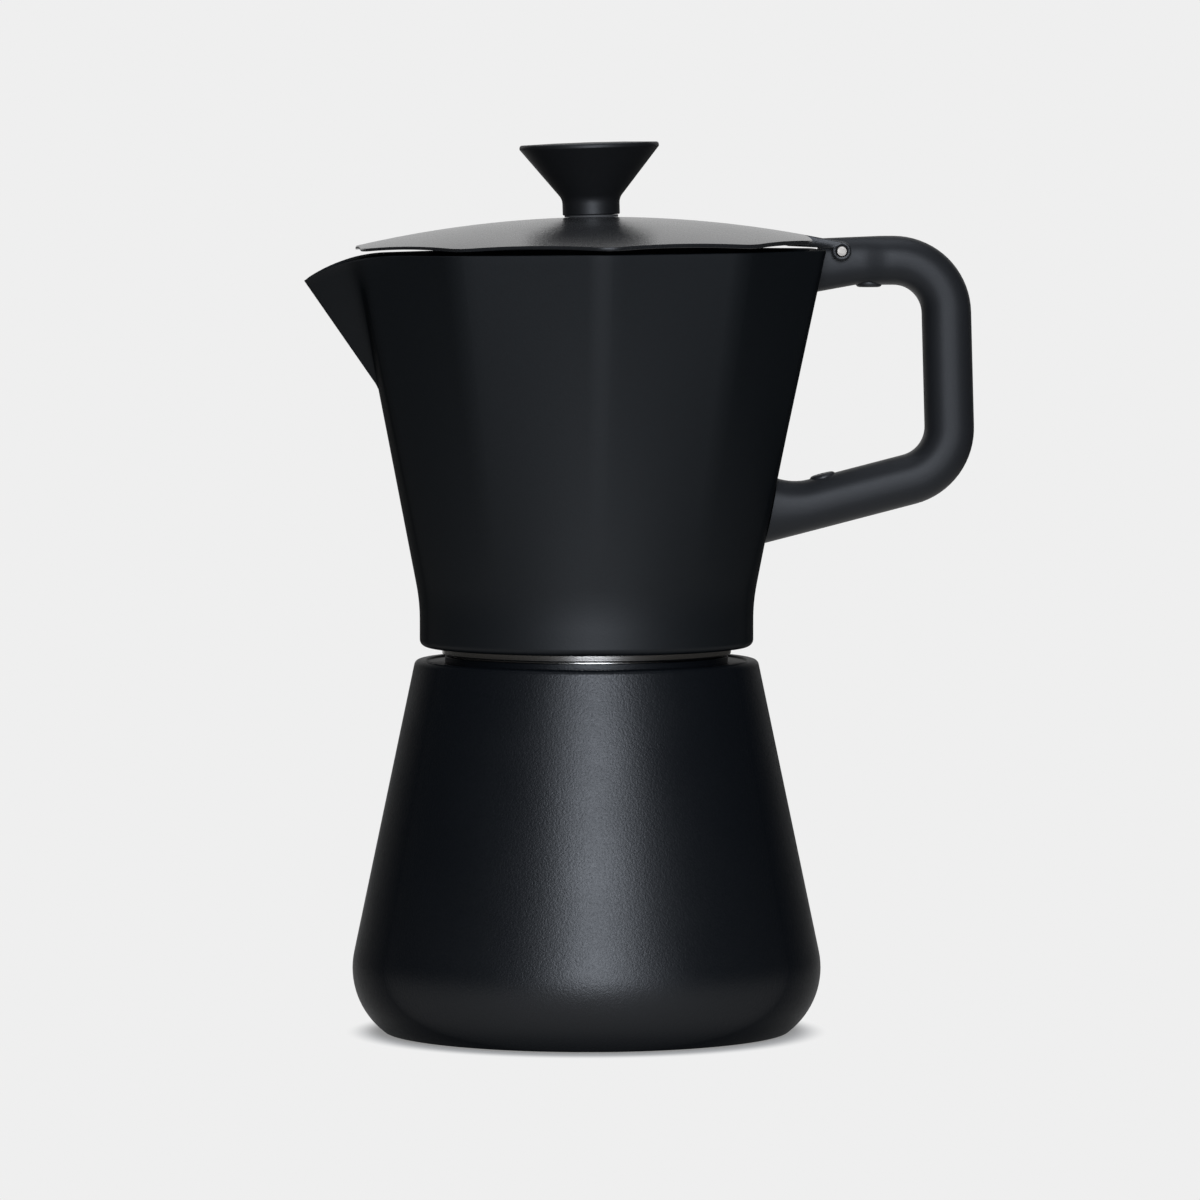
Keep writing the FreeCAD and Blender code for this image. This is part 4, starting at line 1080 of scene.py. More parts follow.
    def shell_mesh(self) -> Mesh:
        """Make the vessel's sheet, inside and out, with a rolled rim.

        Returns:
            The vessel's mesh.
        """
        bottom = self.base + self.wall
        outside = self.skirt(0.0, [
            Bend(self.collar_hole, self.base), Bend(self.base_radius, self.base, self.base_rounding)])
        inside = self.skirt(self.wall, [
            Bend(self.collar_hole, bottom), Bend(self.base_radius - self.wall, bottom)])
        loops = []
        for column in self.columns():
            low = self.point(column, self.facet_z, 0.0)
            ray = Vector((low.x, low.y, 0)).normalized()
            outer_top = self.top(column, 0.0)
            inner_top = self.top(column, self.wall)
            edge = self.edge_size(column)
            loops.append([
                *standing(outside, ray), *self.climb(column, 0.0, outer_top - edge),
                *self.rim_points(column, outer_top, inner_top),
                *self.climb(column, self.wall, inner_top - edge)[::-1], *standing(inside[::-1], ray)])
        return skin("collector_shell", loops)

    def collar_mesh(self) -> Mesh:
        """Make the bare ring in the collector's foot, with its thread.

        Returns:
            The ring's mesh.
        """
        ring = lathe("thread_collar", [
            Bend(self.collar_bore, self.collar_foot, self.collar_edge),
            Bend(self.collar_radius, self.collar_foot, self.collar_edge),
            Bend(self.collar_radius, self.seat), Bend(self.collar_bore, self.seat)])
        return wind(ring, Finish.STEEL, self.thread_turns, Radius=self.collar_bore, Pitch=self.thread_pitch,
                    Depth=self.collar_bore - self.collar_crest, Foot=self.collar_foot + self.thread_foot)

    def build(self) -> None:
        """Make and dress the collector's pieces."""
        body = Body.COLLECTOR
        dress("collector_vessel", self.shell_mesh(), body, Finish.COLLECTOR_COAT,
              "collector_shell", sharp=24.0)
        dress("collector_collar", self.collar_mesh(), body, Finish.STEEL, "thread_collar")
        paint_nodes(Finish.SPUN_STEEL, "collector_floor", "riser_column")


@dataclass
class Boiler:
    """The water vessel with its threaded neck, base disc and safety valve."""

    height: float = 83.65
    wall: float = 1.2
    lean: float = 11.87
    belly_radius: float = 54.48
    belly_height: float = 7.24
    belly_rounding: float = 17.6
    foot_lean: float = 38.0
    foot_clearance: float = 0.3
    shoulder_rounding: float = 1.3
    floor_rounding: float = 11.0
    disc_recess: float = 44.05
    disc_thickness: float = 2.8
    shoulder_step: float = 35.9
    step_depth: float = 0.45
    upstand_radius: float = 31.7
    upstand_top: float = 84.6
    neck_hole: float = 30.65
    neck_core: float = 29.95
    neck_crest: float = 30.58
    neck_bore: float = 29.2
    neck_top: float = 90.8
    neck_edge: float = 0.35
    thread_pitch: float = 4.0
    thread_turns: float = 1.5
    thread_foot: float = 0.9
    valve_height: float = 46.0
    valve_hole: float = 4.95
    valve_seat_radius: float = 8.6
    valve_seat_proud: float = 0.4
    valve_seat_rounding: float = 0.25
    spring_radius: float = 2.2
    spring_wire: float = 0.25
    spring_turns: float = 6.0
    spring_low: float = -0.65
    spring_high: float = 8.85
    valve_travel: float = 1.5

    def radius(self, height: float) -> float:
        """Return the wall's outer radius at a height."""
        return self.belly_radius - (height - self.belly_height) * math.tan(math.radians(self.lean))

    def shell_mesh(self) -> Mesh:
        """Make the vessel's sheet with its rounded belly, stepped shoulder and the valve's seat.

        Returns:
            The vessel's mesh.
        """
        floor = self.disc_thickness + self.wall
        skew = self.wall / math.cos(math.radians(self.lean))
        foot_run = (self.belly_height - self.foot_clearance) / math.tan(math.radians(self.foot_lean))
        step = self.height - self.step_depth
        ceiling = self.height - self.wall
        vessel = lathe("boiler_shell", [
            Bend(self.disc_recess, self.foot_clearance),
            Bend(self.belly_radius - foot_run, self.foot_clearance),
            Bend(self.belly_radius, self.belly_height, self.belly_rounding),
            Bend(self.radius(self.height), self.height, self.shoulder_rounding),
            Bend(self.shoulder_step, self.height, self.step_depth / 2),
            Bend(self.shoulder_step - self.step_depth / 2, step, self.step_depth / 3),
            Bend(self.upstand_radius, step),
            Bend(self.upstand_radius, self.upstand_top, self.step_depth / 2),
            Bend(self.neck_hole, self.upstand_top),
            Bend(self.neck_hole, ceiling),
            Bend(self.radius(ceiling) - skew, ceiling),
            Bend(self.radius(floor) - skew, floor, self.floor_rounding),
            Bend(0, floor),
            Bend(0, self.disc_thickness),
            Bend(self.disc_recess, self.disc_thickness)], segments=240, turn_step=4.0)
        sunk = -self.wall - self.valve_seat_proud
        seat = lathe("valve_seat", [
            Bend(self.valve_hole, sunk), Bend(self.valve_seat_radius, sunk),
            Bend(self.valve_seat_radius, 0, self.valve_seat_rounding), Bend(self.valve_hole, 0)],
            segments=96, place=self.valve_place())
        return join_meshes("boiler_shell", [vessel, seat])

    def valve_place(self) -> Matrix:
        """Find where the valve's axis stands on the back of the boiler.

        Returns:
            The place in metres, with the valve's axis as its upright one.
        """
        lean = math.radians(self.lean)
        out = self.radius(self.valve_height) + self.valve_seat_proud * math.cos(lean)
        up = self.valve_height + self.valve_seat_proud * math.sin(lean)
        turn = Matrix.Rotation(-(math.pi / 2 - lean), 4, "X")
        return Matrix.Translation(Vector((0, out, up)) * MM) @ turn

    def neck_mesh(self) -> Mesh:
        """Make the bare neck ring, with its thread.

        Returns:
            The ring's mesh.
        """
        foot = self.height - self.wall
        ring = lathe("boiler_neck", [
            Bend(self.neck_bore, foot), Bend(self.neck_core, foot),
            Bend(self.neck_core, self.neck_top, self.neck_edge),
            Bend(self.neck_bore, self.neck_top, self.neck_edge)])
        return wind(ring, Finish.STEEL, self.thread_turns, Radius=self.neck_core, Pitch=self.thread_pitch,
                    Depth=self.neck_crest - self.neck_core, Foot=self.height + self.thread_foot)

    def spring(self) -> None:
        """Wind the valve's spring at one fixed length, though the real one shortens against the valve's cap
        as the stem lifts.
        """
        length = self.spring_high - self.spring_low
        coil = wind(bpy.data.meshes.new("valve_coil"), Finish.PIN_STEEL, self.spring_turns, sides=12,
                    Radius=self.spring_radius, Pitch=(length - 2 * self.spring_wire) / self.spring_turns,
                    Depth=self.spring_wire, Foot=self.spring_low + self.spring_wire)
        place = self.valve_place()
        coil.transform(place)
        spring = dress("valve_coil", coil, Body.BOILER, Finish.PIN_STEEL, "valve_spring",
                       sharp=60.0)
        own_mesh(spring)

    def build(self) -> None:
        """Make and dress the boiler's pieces."""
        dress("boiler_vessel", self.shell_mesh(), Body.BOILER, Finish.BOILER_COAT, "boiler_shell",
              sharp=40.0)
        dress("boiler_neck_ring", self.neck_mesh(), Body.BOILER, Finish.STEEL, "boiler_neck")
        self.spring()
        paint_nodes(Finish.SPUN_STEEL, "base_disc")
        paint_nodes(Finish.BRASS, "valve_body", "valve_nut", "valve_cap")
        paint_nodes(Finish.PIN_STEEL, "valve_stem")
        paint_nodes(Finish.SILICONE, "valve_washer")


@dataclass
class Funnel:
    """The coffee basket with its tube, strainer, gasket and filter plate."""

    strainer_radius: float = 27.85
    strainer_low: float = 67.0
    plate_radius: float = 27.6
    plate_low: float = 94.4
    sheet: float = 0.6
    edge: float = 0.15
    hole: float = 0.62
    punch: float = 2.4
    rings: int = 8
    spacing: float = 2.95

    def sieve_mesh(self, radius: float, low: float, perforation: NodeTree) -> Mesh:
        """Make a thin disc with softened edges and rings of holes.

        Args:
            radius: the disc's radius.
            low: height of its underside.
            perforation: the tree that punches the holes.

        Returns:
            The disc's mesh.
        """
        high = low + self.sheet
        disc = lathe("sieve", [
            Bend(0, low), Bend(radius, low, self.edge), Bend(radius, high, self.edge), Bend(0, high)],
            segments=128, turn_step=30.0)
        return run_tree(disc, perforation, Finish.SPUN_STEEL, Rings=self.rings, Spacing=self.spacing * MM,
                        Hole=self.hole * MM, Depth=self.punch * MM, Level=(low + self.sheet / 2) * MM)

    def build(self) -> None:
        """Make and dress the funnel's and the seal's pieces."""
        perforation = perforation_tree()
        for name, node, body, radius, low in (
                ("basket_sieve", "basket_strainer", Body.FUNNEL, self.strainer_radius, self.strainer_low),
                ("filter_sieve", "filter_plate", Body.FILTER_PLATE, self.plate_radius, self.plate_low)):
            dress(name, self.sieve_mesh(radius, low, perforation), body, Finish.SPUN_STEEL, node)
        paint_nodes(Finish.SPUN_STEEL, "funnel_basket", "funnel_tube")
        paint_nodes(Finish.SILICONE, "gasket")


@dataclass
class Lid:
    """The domed lid with its hinge ears, knob, washer and screw."""

    apothem: float = 52.3
    rear: float = 47.5
    facets: int = 10
    corner: float = 10.0
    sheet: float = 0.8
    sheet_growth: float = 0.0028
    rise: float = 6.2
    edge_up: float = 176.527
    edge_rounding: float = 0.07
    tilt: float = 0.8
    hinge_reach: float = 56.75
    hinge_up: float = 175.1
    set_back: float = 1.2
    ear_radius: float = 2.15
    ear_inner: float = 5.05
    ear_outer: float = 6.45
    ear_edge: float = 0.25
    pin_hole: float = 1.2
    strap: float = 8.0
    strap_rise: float = 1.35
    strap_back: float = 4.25
    strap_back_rise: float = 0.85
    strap_turn: int = 160
    strap_foot_share: float = 0.2
    strap_top_share: float = 0.5
    strap_rear_share: float = 0.95
    washer: float = 0.5
    neck_radius: float = 6.4
    neck_height: float = 3.6
    neck_rounding: float = 3.0
    neck_edge: float = 0.3
    knob_radius: float = 15.6
    knob_height: float = 15.9
    knob_tilt: float = 1.0
    knob_edge: float = 0.6
    knob_edge_height: float = 0.95
    knob_crown: float = 0.3
    screw: Screw = Screw(head_radius=3.6, head_height=2.0, shank_radius=2.0, shank_length=10.3,
                         slot_width=0.9, slot_length=4.2, slot_depth=1.32)
    screw_play: float = 0.05
    rings: int = 26
    edge_step: float = 3.0

    def __post_init__(self) -> None:
        """Work out the dome and the place of the hinge."""
        self.corner_radius = self.apothem / math.cos(math.pi / self.facets)
        self.dome = (self.corner_radius ** 2 + self.rise ** 2) / (2 * self.rise)
        self.apex = self.edge_up + self.sheet + self.rise
        self.hinge_in_lid = self.hinge_reach - self.set_back
        self.screw_hole = self.screw.shank_radius + self.screw_play
        self.screw_depth = self.screw.shank_length - self.sheet - self.washer

    def place(self) -> Matrix:
        """Find how the level lid is set back and droops about its hinge.

        Returns:
            The place in metres.
        """
        hinge = Vector((self.hinge_reach, 0, self.hinge_up)) * MM
        own = Vector((self.hinge_in_lid, 0, self.hinge_up)) * MM
        droop = Matrix.Rotation(math.radians(-self.tilt), 4, "Y")
        return Matrix.Translation(hinge) @ droop @ Matrix.Translation(-own)

    def underside(self, reach: float) -> float:
        """Return the height of the level lid's underside at a distance from its middle."""
        return self.apex - self.sheet - (self.dome - math.sqrt(self.dome ** 2 - reach ** 2))

    def outline(self) -> list[Vector]:
        """Draw the sheet's ten-sided outline, cut shorter towards the hinge.

        Returns:
            Points across the level lid, close together at the rounded corners.
        """
        turn = 2 * math.pi / self.facets
        corners = []
        for step in range(self.facets):
            angle = turn * (step + 0.5)
            corners.append(Bend(self.corner_radius * math.cos(angle), self.corner_radius * math.sin(angle),
                                self.corner))
        half = (self.apothem - self.rear * math.cos(turn)) / math.sin(turn)
        corners[0] = Bend(self.rear, half, self.corner)
        corners[-1] = Bend(self.rear, -half, self.corner)
        rounded = [Vector(point) for point in rounded_outline(corners, turn_step=4.0)]
        points = []
        for start, end in zip(rounded, rounded[1:] + rounded[:1]):
            steps = max(1, round((end - start).length / self.edge_step))
            points += [start.lerp(end, step / steps) for step in range(steps)]
        return points

    def dome_mesh(self) -> Mesh:
        """Make the domed ten-sided sheet, thicker towards the hinge, with a hole for the knob's screw.

        Returns:
            The sheet's mesh, level.
        """
        hole = self.screw_hole
        edge = self.edge_rounding
        loops = []
        for point in self.outline():
            reach = point.length
            ray = (point / reach).to_3d()
            steps = [hole + (reach - edge - hole) * step / self.rings for step in range(self.rings + 1)]
            profile = [(across, self.underside(across) - self.sheet_growth * ray.x * across)
                       for across in steps]
            half = (self.sheet + self.sheet_growth * point.x) / 2
            middle = self.underside(reach) + self.sheet - half
            for swing in map(math.radians, (-60, -30, 0, 30, 60)):
                profile.append((reach - edge * (1 - math.cos(swing)), middle + half * math.sin(swing)))
            profile += [(across, self.underside(across) + self.sheet) for across in reversed(steps)]
            loops.append(standing(profile, ray))
        return skin("lid_dome", loops)

    def eye(self, radius: float, turns: range) -> list[Vector]:
        """Draw an arc about the hinge.

        Args:
            radius: the arc's radius.
            turns: its directions, in degrees.

        Returns:
            Points along the level lid and up.
        """
        centre = Vector((self.hinge_in_lid, self.hinge_up))
        return [centre + radius * Vector((math.cos(angle), math.sin(angle)))
                for angle in map(math.radians, turns)]

    def strap_end(self, reach: float, share: float) -> Vector:
        """Return a place in the sheet's thickness, along the level lid and up."""
        return Vector((reach, self.underside(reach) + self.sheet * share))

    def ear_mesh(self, side: int) -> Mesh:
        """Make one strap that reaches back to an eye on the hinge pin.

        Args:
            side: 1 or -1, for the two sides.

        Returns:
            A flat plate with an eye, softened on its outer edges.
        """
        root = self.rear - self.strap
        outline = [
            self.strap_end(root, self.strap_foot_share),
            Vector((self.rear - self.strap / 2, self.hinge_up + self.strap_rise)),
            Vector((self.hinge_in_lid - self.strap_back, self.hinge_up + self.strap_back_rise)),
            *self.eye(self.ear_radius, range(self.strap_turn, 451, 10)),
            self.strap_end(self.rear, self.strap_rear_share),
            self.strap_end(root, self.strap_top_share)]
        near = side * self.ear_inner
        far = side * self.ear_outer
        bm = bmesh.new()
        for points in (outline, self.eye(self.pin_hole, range(0, 360, 15))):
            verts = [bm.verts.new(Vector((point.x, near, point.y)) * MM) for point in points]
            for vert, following in zip(verts, verts[1:] + verts[:1]):
                bm.edges.new((vert, following))
        bmesh.ops.triangle_fill(bm, use_beauty=True, edges=bm.edges)
        made = bmesh.ops.extrude_face_region(bm, geom=bm.faces[:])["geom"]
        moved = [item for item in made if isinstance(item, bmesh.types.BMVert)]
        bmesh.ops.translate(bm, verts=moved, vec=Vector((0, far - near, 0)) * MM)
        bmesh.ops.recalc_face_normals(bm, faces=bm.faces)
        outer_edges = [edge for edge in bm.edges if edge.calc_face_angle(0) > math.radians(60)
                       and all(abs(vert.co.y - far * MM) < 10 * WELD for vert in edge.verts)]
        bmesh.ops.bevel(bm, geom=outer_edges, offset=self.ear_edge * MM, segments=2, profile=0.5,
                        affect="EDGES")
        return mesh_of("lid_ear", bm)

    def knob_mesh(self) -> Mesh:
        """Make the knob: a short neck that opens in a cone to a flat top, leaning more than the lid.

        Returns:
            The knob's mesh.
        """
        base = self.apex + self.washer
        top = base + self.knob_height
        foot = Matrix.Translation(Vector((0, 0, base)) * MM)
        lean = foot @ Matrix.Rotation(math.radians(-self.knob_tilt), 4, "Y") @ foot.inverted()
        return lathe("knob", [
            Bend(self.screw_hole, base),
            Bend(self.neck_radius, base, self.neck_edge),
            Bend(self.neck_radius, base + self.neck_height, self.neck_rounding),
            Bend(self.knob_radius, top - self.knob_edge_height, self.knob_edge / 2),
            Bend(self.knob_radius, top, self.knob_edge),
            Bend(self.knob_radius / 2, top + self.knob_crown * 3 / 4),
            Bend(0, top + self.knob_crown),
            Bend(0, base + self.screw_depth),
            Bend(self.screw_hole, base + self.screw_depth)], turn_step=6.0, place=self.place() @ lean)

    def screw_mesh(self) -> Mesh:
        """Make the screw under the lid.

        Returns:
            The screw's mesh, in place.
        """
        seat = Vector((0, 0, self.apex - self.sheet - self.screw_play)) * MM
        mesh = self.screw.mesh()
        mesh.transform(self.place() @ Matrix.Translation(seat) @ Matrix.Rotation(math.pi, 4, "X"))
        return mesh

    def build(self) -> None:
        """Make and dress the lid's pieces."""
        sheet = join_meshes("lid_sheet", [self.dome_mesh(), self.ear_mesh(-1), self.ear_mesh(1)])
        sheet.transform(self.place())
        dress("lid_sheet", sheet, Body.LID, Finish.LID_COAT, "lid", sharp=24.0)
        dress("lid_knob", self.knob_mesh(), Body.LID, Finish.KNOB_RESIN, "knob")
        dress("lid_knob_screw", self.screw_mesh(), Body.LID, Finish.PIN_STEEL, "knob_screw")
        paint_nodes(Finish.DARK_RUBBER, "knob_washer")


@dataclass
class Handle:
    """The looped handle with its brackets, screws and the lid's hinge pin."""

    collector: Collector
    arm_up: float = 173.0
    upper_start: float = 60.4
    upper_reach: float = 80.65
    upper_flare: float = 0.18
    upper_power: float = 1.0
    upper_screw: float = 63.45
    lower_reach: float = 81.95
    lower_up: float = 126.4
    lower_lean: float = 14.4
    lower_run: float = 31.5
    lower_flare: float = 0.0425
    lower_power: float = 2.0
    lower_extra: float = 0.36
    lower_screw: float = 28.4
    bend: float = 12.0
    half_depth: float = 5.5
    half_width: float = 6.4
    fullness: float = 2.5
    lug_half_width: float = 4.65
    lug_end: float = 60.7
    lug_blend: float = 7.5
    lug_rings: int = 6
    crown_end: float = 66.25
    crown_fall: float = 0.04
    wall_clearance: float = -0.1
    end_rings: int = 8
    ring_steps: int = 48
    pin_across: float = 56.75
    pin_up: float = 175.1
    pin_radius: float = 1.15
    pin_half: float = 6.65
    pin_edge: float = 0.15
    screw_seat: float = 4.2
    screw: Screw = Screw(head_radius=3.0, head_height=1.8, shank_radius=1.7, shank_length=4.2,
                         slot_width=0.8, slot_length=3.6, slot_depth=1.2)

    def __post_init__(self) -> None:
        """Work out where the lower arm lies."""
        self.lean = math.radians(self.lower_lean)
        self.lower_bend = Vector((self.lower_reach, self.lower_up))
        self.inwards = Vector((-math.cos(self.lean), -math.sin(self.lean)))

    def section(self, middle: Vector, outward: Vector, index: int, deeper: float = 0.0) -> Vector:
        """Find one point of the handle's rounded section at a place along its loop.

        Args:
            middle: the section's middle, across and up.
            outward: the direction out of the loop.
            index: the point's number round the section.
            deeper: how much deeper the section is on the loop's inner side.

        Returns:
            The point in millimetres.
        """
        width = self.half_width
        outer = self.half_depth + self.lower_extra * max(0.0, -outward.y)
        inner = self.half_depth + deeper
        if middle.y > (self.arm_up + self.lower_up) / 2:
            near = min(1.0, max(0.0, (self.lug_end + self.lug_blend - middle.x) / self.lug_blend))
            width += (self.lug_half_width - self.half_width) * near * near * (3 - 2 * near)
            outer -= max(0.0, self.crown_end - middle.x) * self.crown_fall
        angle = 2 * math.pi * index / self.ring_steps
        out, side = (math.copysign(abs(part) ** (2 / self.fullness), part)
                     for part in (math.cos(angle), math.sin(angle)))
        flat = middle + outward * ((outer - inner) / 2 + (outer + inner) / 2 * out)
        return Vector((flat.x, width * side, flat.y))

    def flared_end(self, start: Vector, along: Vector, outward: Vector, flare: float,
                   power: float) -> list[list[Vector]]:
        """Carry a straight arm's end on to the collector's wall.

        Args:
            start: where the flare starts, across and up.
            along: the direction towards the wall.
            outward: the direction out of the loop.
            flare: how much deeper the section is one millimetre past the start.
            power: the power of the distance with which it gets deeper.

        Returns:
            Rings from the start to the wall.
        """
        def place(index: int, beyond: float) -> Vector:
            """Return a point of the section at a distance past the start."""
            return self.section(start + along * beyond, outward, index, flare * beyond ** power)

        def outside(index: int, beyond: float) -> bool:
            """Return whether that point still lies outside the wall."""
            point = place(index, beyond)
            return point.x > self.collector.wall_reach(min(point.z, self.collector.rim)) + self.wall_clearance

        reaches = [bisect(0.0, 2 * self.bend, functools.partial(outside, index))
                   for index in range(self.ring_steps)]
        return [[place(index, reach * step / self.end_rings) for index, reach in enumerate(reaches)]
                for step in range(1, self.end_rings + 1)]

    def loop_mesh(self) -> Mesh:
        """Make the looped grip with its ends flared to the collector's wall.

        Returns:
            The grip's mesh.
        """
        end = self.lower_bend + self.inwards * self.lower_run
        blend = [Bend(self.lug_end + self.lug_blend * step / self.lug_rings, self.arm_up)
                 for step in range(1, self.lug_rings + 1)]
        path = [Vector(point) for point in rounded_outline([
            Bend(self.upper_start, self.arm_up), *blend, Bend(self.upper_reach, self.arm_up, self.bend),
            Bend(*self.lower_bend, self.bend), Bend(*end)], closed=False, turn_step=5.0)]
        rings = self.flared_end(path[0], Vector((-1, 0)), Vector((0, 1)), self.upper_flare,
                                self.upper_power)[::-1]
        for index, point in enumerate(path):
            ahead = path[min(index + 1, len(path) - 1)] - path[max(index - 1, 0)]
            outward = Vector((-ahead.y, ahead.x)).normalized()
            rings.append([self.section(point, outward, step) for step in range(self.ring_steps)])
        downward = Vector((-self.inwards.y, self.inwards.x))
        rings += self.flared_end(end, self.inwards, downward, self.lower_flare, self.lower_power)
        return skin("handle_loop", rings, capped=True)

    def screws_mesh(self) -> Mesh:
        """Set one screw on each of its two seats.

        Returns:
            Both screws, in place.
        """
        upper = Vector((self.upper_screw, 0, self.arm_up - self.screw_seat))
        flat = self.lower_bend + self.inwards * self.lower_screw
        seated = flat + Vector((-math.sin(self.lean), math.cos(self.lean))) * self.screw_seat
        lower = Vector((seated.x, 0, seated.y))
        seats = bpy.data.meshes.new("screw_seats")
        seats.from_pydata([upper * MM, lower * MM], [], [])
        turns = seats.attributes.new("turn", "FLOAT_VECTOR", "POINT")
        turns.data[0].vector = (math.pi, 0, 0)
        turns.data[1].vector = (0, -self.lean, 0)
        prototype = add_object("screw_prototype", self.screw.mesh())
        screws = run_tree(seats, scatter_tree(), Finish.SCREW_COAT, Prototype=prototype)
        remove_object(prototype)
        return screws

    def pin_mesh(self) -> Mesh:
        """Make the hinge pin, which lies across the handle's lug.

        Returns:
            The pin's mesh.
        """
        place = Matrix.Translation(Vector((self.pin_across, 0, self.pin_up)) * MM)
        return lathe("hinge_pin", [
            Bend(0, -self.pin_half), Bend(self.pin_radius, -self.pin_half, self.pin_edge),
            Bend(self.pin_radius, self.pin_half, self.pin_edge), Bend(0, self.pin_half)],
            segments=64, place=place @ Matrix.Rotation(math.pi / 2, 4, "X"))

    def build(self) -> None:
        """Make and dress the handle's pieces."""
        body = Body.COLLECTOR
        dress("handle_loop", self.loop_mesh(), body, Finish.HANDLE_RESIN, "handle", sharp=50.0)
        dress("handle_screw_pair", self.screws_mesh(), body, Finish.SCREW_COAT, "handle_screws")
        dress("handle_hinge_pin", self.pin_mesh(), body, Finish.HINGE_STEEL, "hinge_pin")
        paint_nodes(Finish.SPUN_STEEL, "upper_bracket", "lower_bracket")


def aim_object(obj: Object, place: Vector, aim: Vector) -> None:
    """Put a lamp or camera in its place and point it at something, both in metres."""
    obj.location = place
    obj.rotation_euler = (aim - place).to_track_quat("-Z", "Y").to_euler()


@dataclass(frozen=True)
class Softbox:
    """A rectangular soft light, in metres, whose face is as bright as white at a radiance of 1."""

    name: str
    place: Place
    size: Point
    radiance: float
    aim: Place = (0, 0, 0.1)
    tint: Colour = (0.93, 1.0, 1.12)

    def hang(self) -> None:
        """Hang the light and point it at the pot."""
        lamp = bpy.data.lights.new(self.name, "AREA")
        lamp.shape = "RECTANGLE"
        lamp.size, lamp.size_y = self.size
        lamp.energy = self.radiance * math.pi * math.prod(self.size)
        lamp.color = self.tint
        aim_object(add_object(self.name, lamp), Vector(self.place), Vector(self.aim))


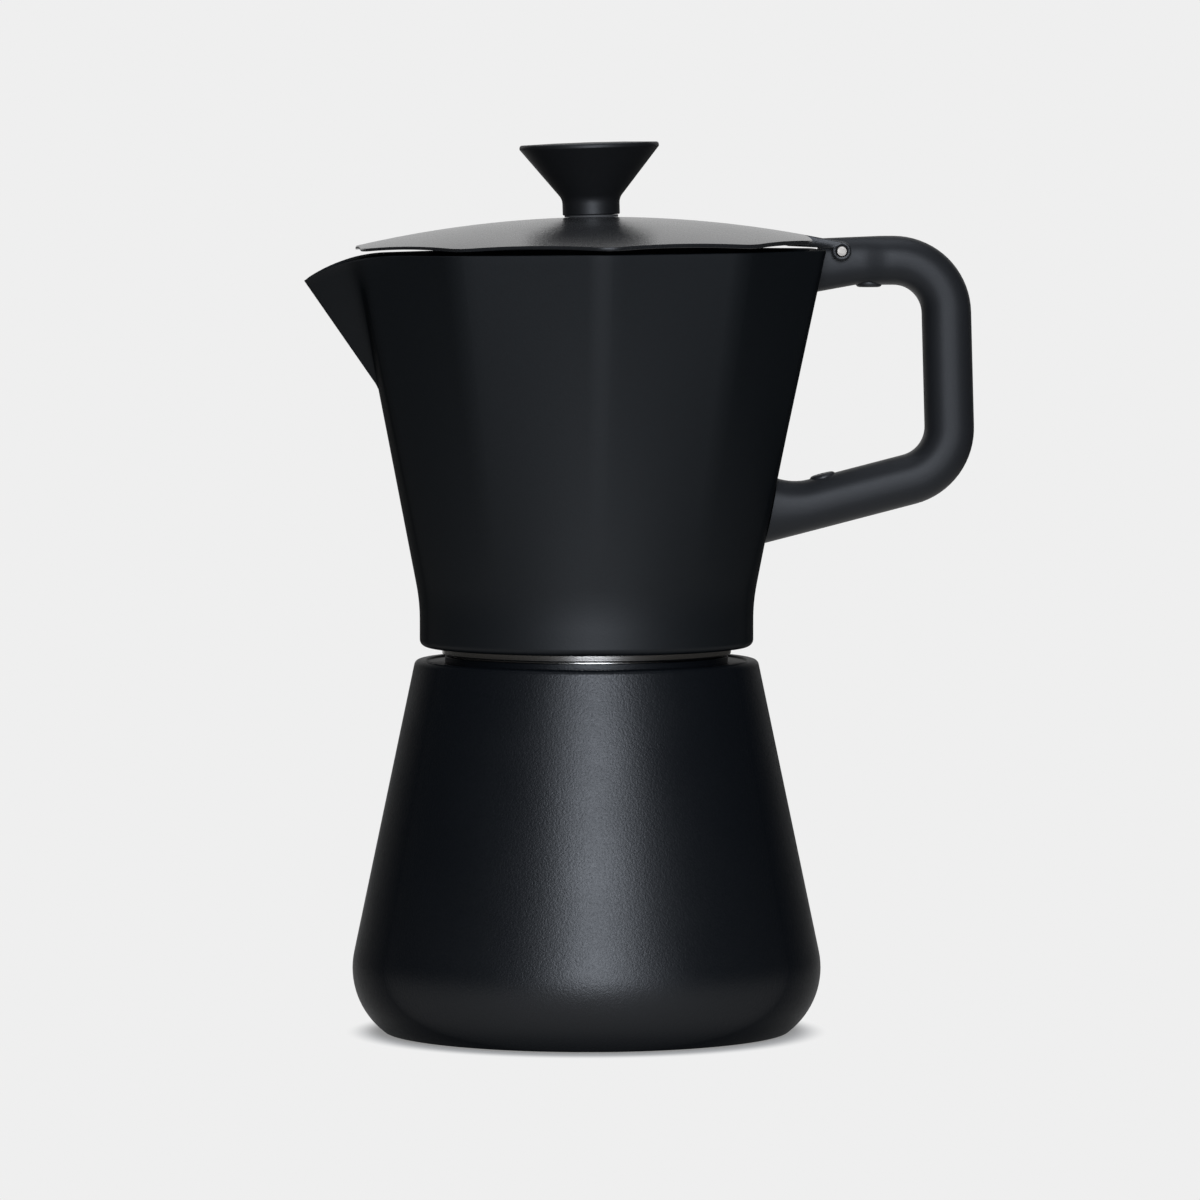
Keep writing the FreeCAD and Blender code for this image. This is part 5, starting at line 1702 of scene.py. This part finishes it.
@dataclass
class Studio:
    """The pale floor and backdrop, soft lights and the camera."""

    distance: float = 1786.0
    camera_up: float = 200.0
    azimuth: float = -4.0
    aim_right: float = 3.02
    aim_up: float = 96.96
    lens: float = 239.35
    sensor: float = 36.0
    clip_end: float = 200.0
    pale: float = 0.863
    ambient: float = 0.30
    room: float = 0.03
    backdrop_span: Point = (0.6, 0.93)
    floor_reach: float = 30000.0
    floor_drop: float = 0.2
    floor_share: float = 0.72
    shadow_span: Point = (0.046, 0.0545)
    sheet_span: Point = (0.10, 0.40)
    paper_tone: float = 0.42
    lights: tuple[Softbox, ...] = (
        Softbox("front_softbox", place=(0.05, -1.9, 0.58), size=(0.92, 1.0), radiance=15.0),
        Softbox("top_softbox", place=(0.0, 0.1, 1.5), size=(1.2, 1.2), radiance=2.0))

    def camera(self) -> None:
        """Set up the camera at the photograph's viewing angle."""
        turn = math.radians(self.azimuth)
        data = bpy.data.cameras.new("camera")
        data.lens = self.lens
        data.sensor_width = self.sensor
        data.clip_end = self.clip_end
        camera = add_object("camera", data)
        place = Vector((math.sin(turn), -math.cos(turn), 0)) * self.distance + Vector((0, 0, self.camera_up))
        right = Vector((math.cos(turn), math.sin(turn), 0))
        aim_object(camera, place * MM, (right * self.aim_right + Vector((0, 0, self.aim_up))) * MM)
        bpy.context.scene.camera = camera

    def shown(self, graph: Graph, unseen: NodeSocket, seen: NodeSocket) -> NodeSocket:
        """Show one shader to rays that see the background, and another to all others.

        Args:
            graph: the tree of both shaders.
            unseen: the shader for rays that only carry light.
            seen: the shader for direct, mirrored and transmitted rays.

        Returns:
            The mixed shader.
        """
        path = graph.add("ShaderNodeLightPath").outputs
        mirrored = graph.math("MAXIMUM", path["Is Glossy Ray"], path["Is Transmission Ray"])
        sees = graph.math("MAXIMUM", path["Is Camera Ray"], mirrored)
        return graph.out("ShaderNodeMixShader", {"Fac": sees, 1: unseen, 2: seen})

    def lit(self, graph: Graph, value: NodeSocket, start: Point, end: Point) -> NodeSocket:
        """Light a backdrop that fades out for mirrored rays and is pale for direct ones.

        Args:
            graph: the backdrop's tree.
            value: what the fading follows.
            start: the values between which it fades.
            end: its brightness at both.

        Returns:
            The brightness.
        """
        fading = graph.ramp(value, start, end, smooth=True)
        direct = graph.out("ShaderNodeLightPath")
        return graph.math("MAXIMUM", fading, graph.math("MULTIPLY", direct, self.pale))

    def world(self) -> None:
        """Light the room softly and show a pale backdrop behind the pot."""
        world = bpy.data.worlds.new("studio")
        world.use_nodes = True
        bpy.context.scene.world = world
        graph = Graph(world.node_tree)
        soft = graph.tree.nodes["Background"]
        soft.inputs["Color"].default_value = WHITE
        soft.inputs["Strength"].default_value = self.ambient
        direction = graph.out("ShaderNodeTexCoord")
        depth = graph.add("ShaderNodeSeparateXYZ", {"Vector": direction}).outputs["Y"]
        strength = self.lit(graph, depth, self.backdrop_span, (self.room, self.pale))
        backdrop = graph.out("ShaderNodeBackground", {"Color": WHITE, "Strength": strength})
        graph.feed(graph.tree.nodes["World Output"].inputs["Surface"],
                   self.shown(graph, soft.outputs[0], backdrop))

    def floor(self) -> None:
        """Lay the pale floor, which keeps the pot's shadow and ends in front in the dark room."""
        reach = self.floor_reach * MM
        mesh = bpy.data.meshes.new("floor")
        corners = ((-reach, -reach), (reach, -reach), (reach, reach), (-reach, reach))
        mesh.from_pydata([(x, y, -self.floor_drop * MM) for x, y in corners], [], [(0, 1, 2, 3)])
        surface = Surface("floor_paper")
        surface.tree.nodes.remove(surface.shader)
        away = surface.add("ShaderNodeVectorMath", {0: surface.place}, operation="LENGTH").outputs["Value"]
        near = surface.ramp(away, self.shadow_span, (self.floor_share, 0.0), smooth=True)
        across, deep, _ = surface.add("ShaderNodeSeparateXYZ", {"Vector": surface.place}).outputs
        ahead = surface.out("ShaderNodeCombineXYZ", {"X": across, "Y": surface.math("MINIMUM", deep, 0.0)})
        outside = surface.add("ShaderNodeVectorMath", {0: ahead}, operation="LENGTH").outputs["Value"]
        strength = self.lit(surface, outside, self.sheet_span, (self.pale, self.room))
        paper = surface.out("ShaderNodeBsdfDiffuse", {"Color": (*(self.paper_tone,) * 3, 1)})
        glow = surface.out("ShaderNodeEmission", {"Color": WHITE, "Strength": strength})
        blend = surface.out("ShaderNodeMixShader", {"Fac": near, 1: glow, 2: paper})
        surface.feed(surface.tree.nodes["Material Output"].inputs["Surface"],
                     self.shown(surface, paper, blend))
        mesh.materials.append(surface.material)
        add_object("floor", mesh)

    def build(self) -> None:
        """Set up the whole studio."""
        self.camera()
        self.world()
        self.floor()
        for light in self.lights:
            light.hang()
        bpy.context.scene.view_settings.view_transform = "Standard"


def main() -> None:
    """Dress every sub-assembly and light the scene."""
    logging.basicConfig(level=logging.INFO, format="%(name)s: %(message)s")
    collector = Collector()
    for assembly in (Boiler(), Funnel(), collector, Handle(collector), Lid(), Studio()):
        assembly.build()
    bpy.context.view_layer.update()


if __name__ == "__main__":
    main()
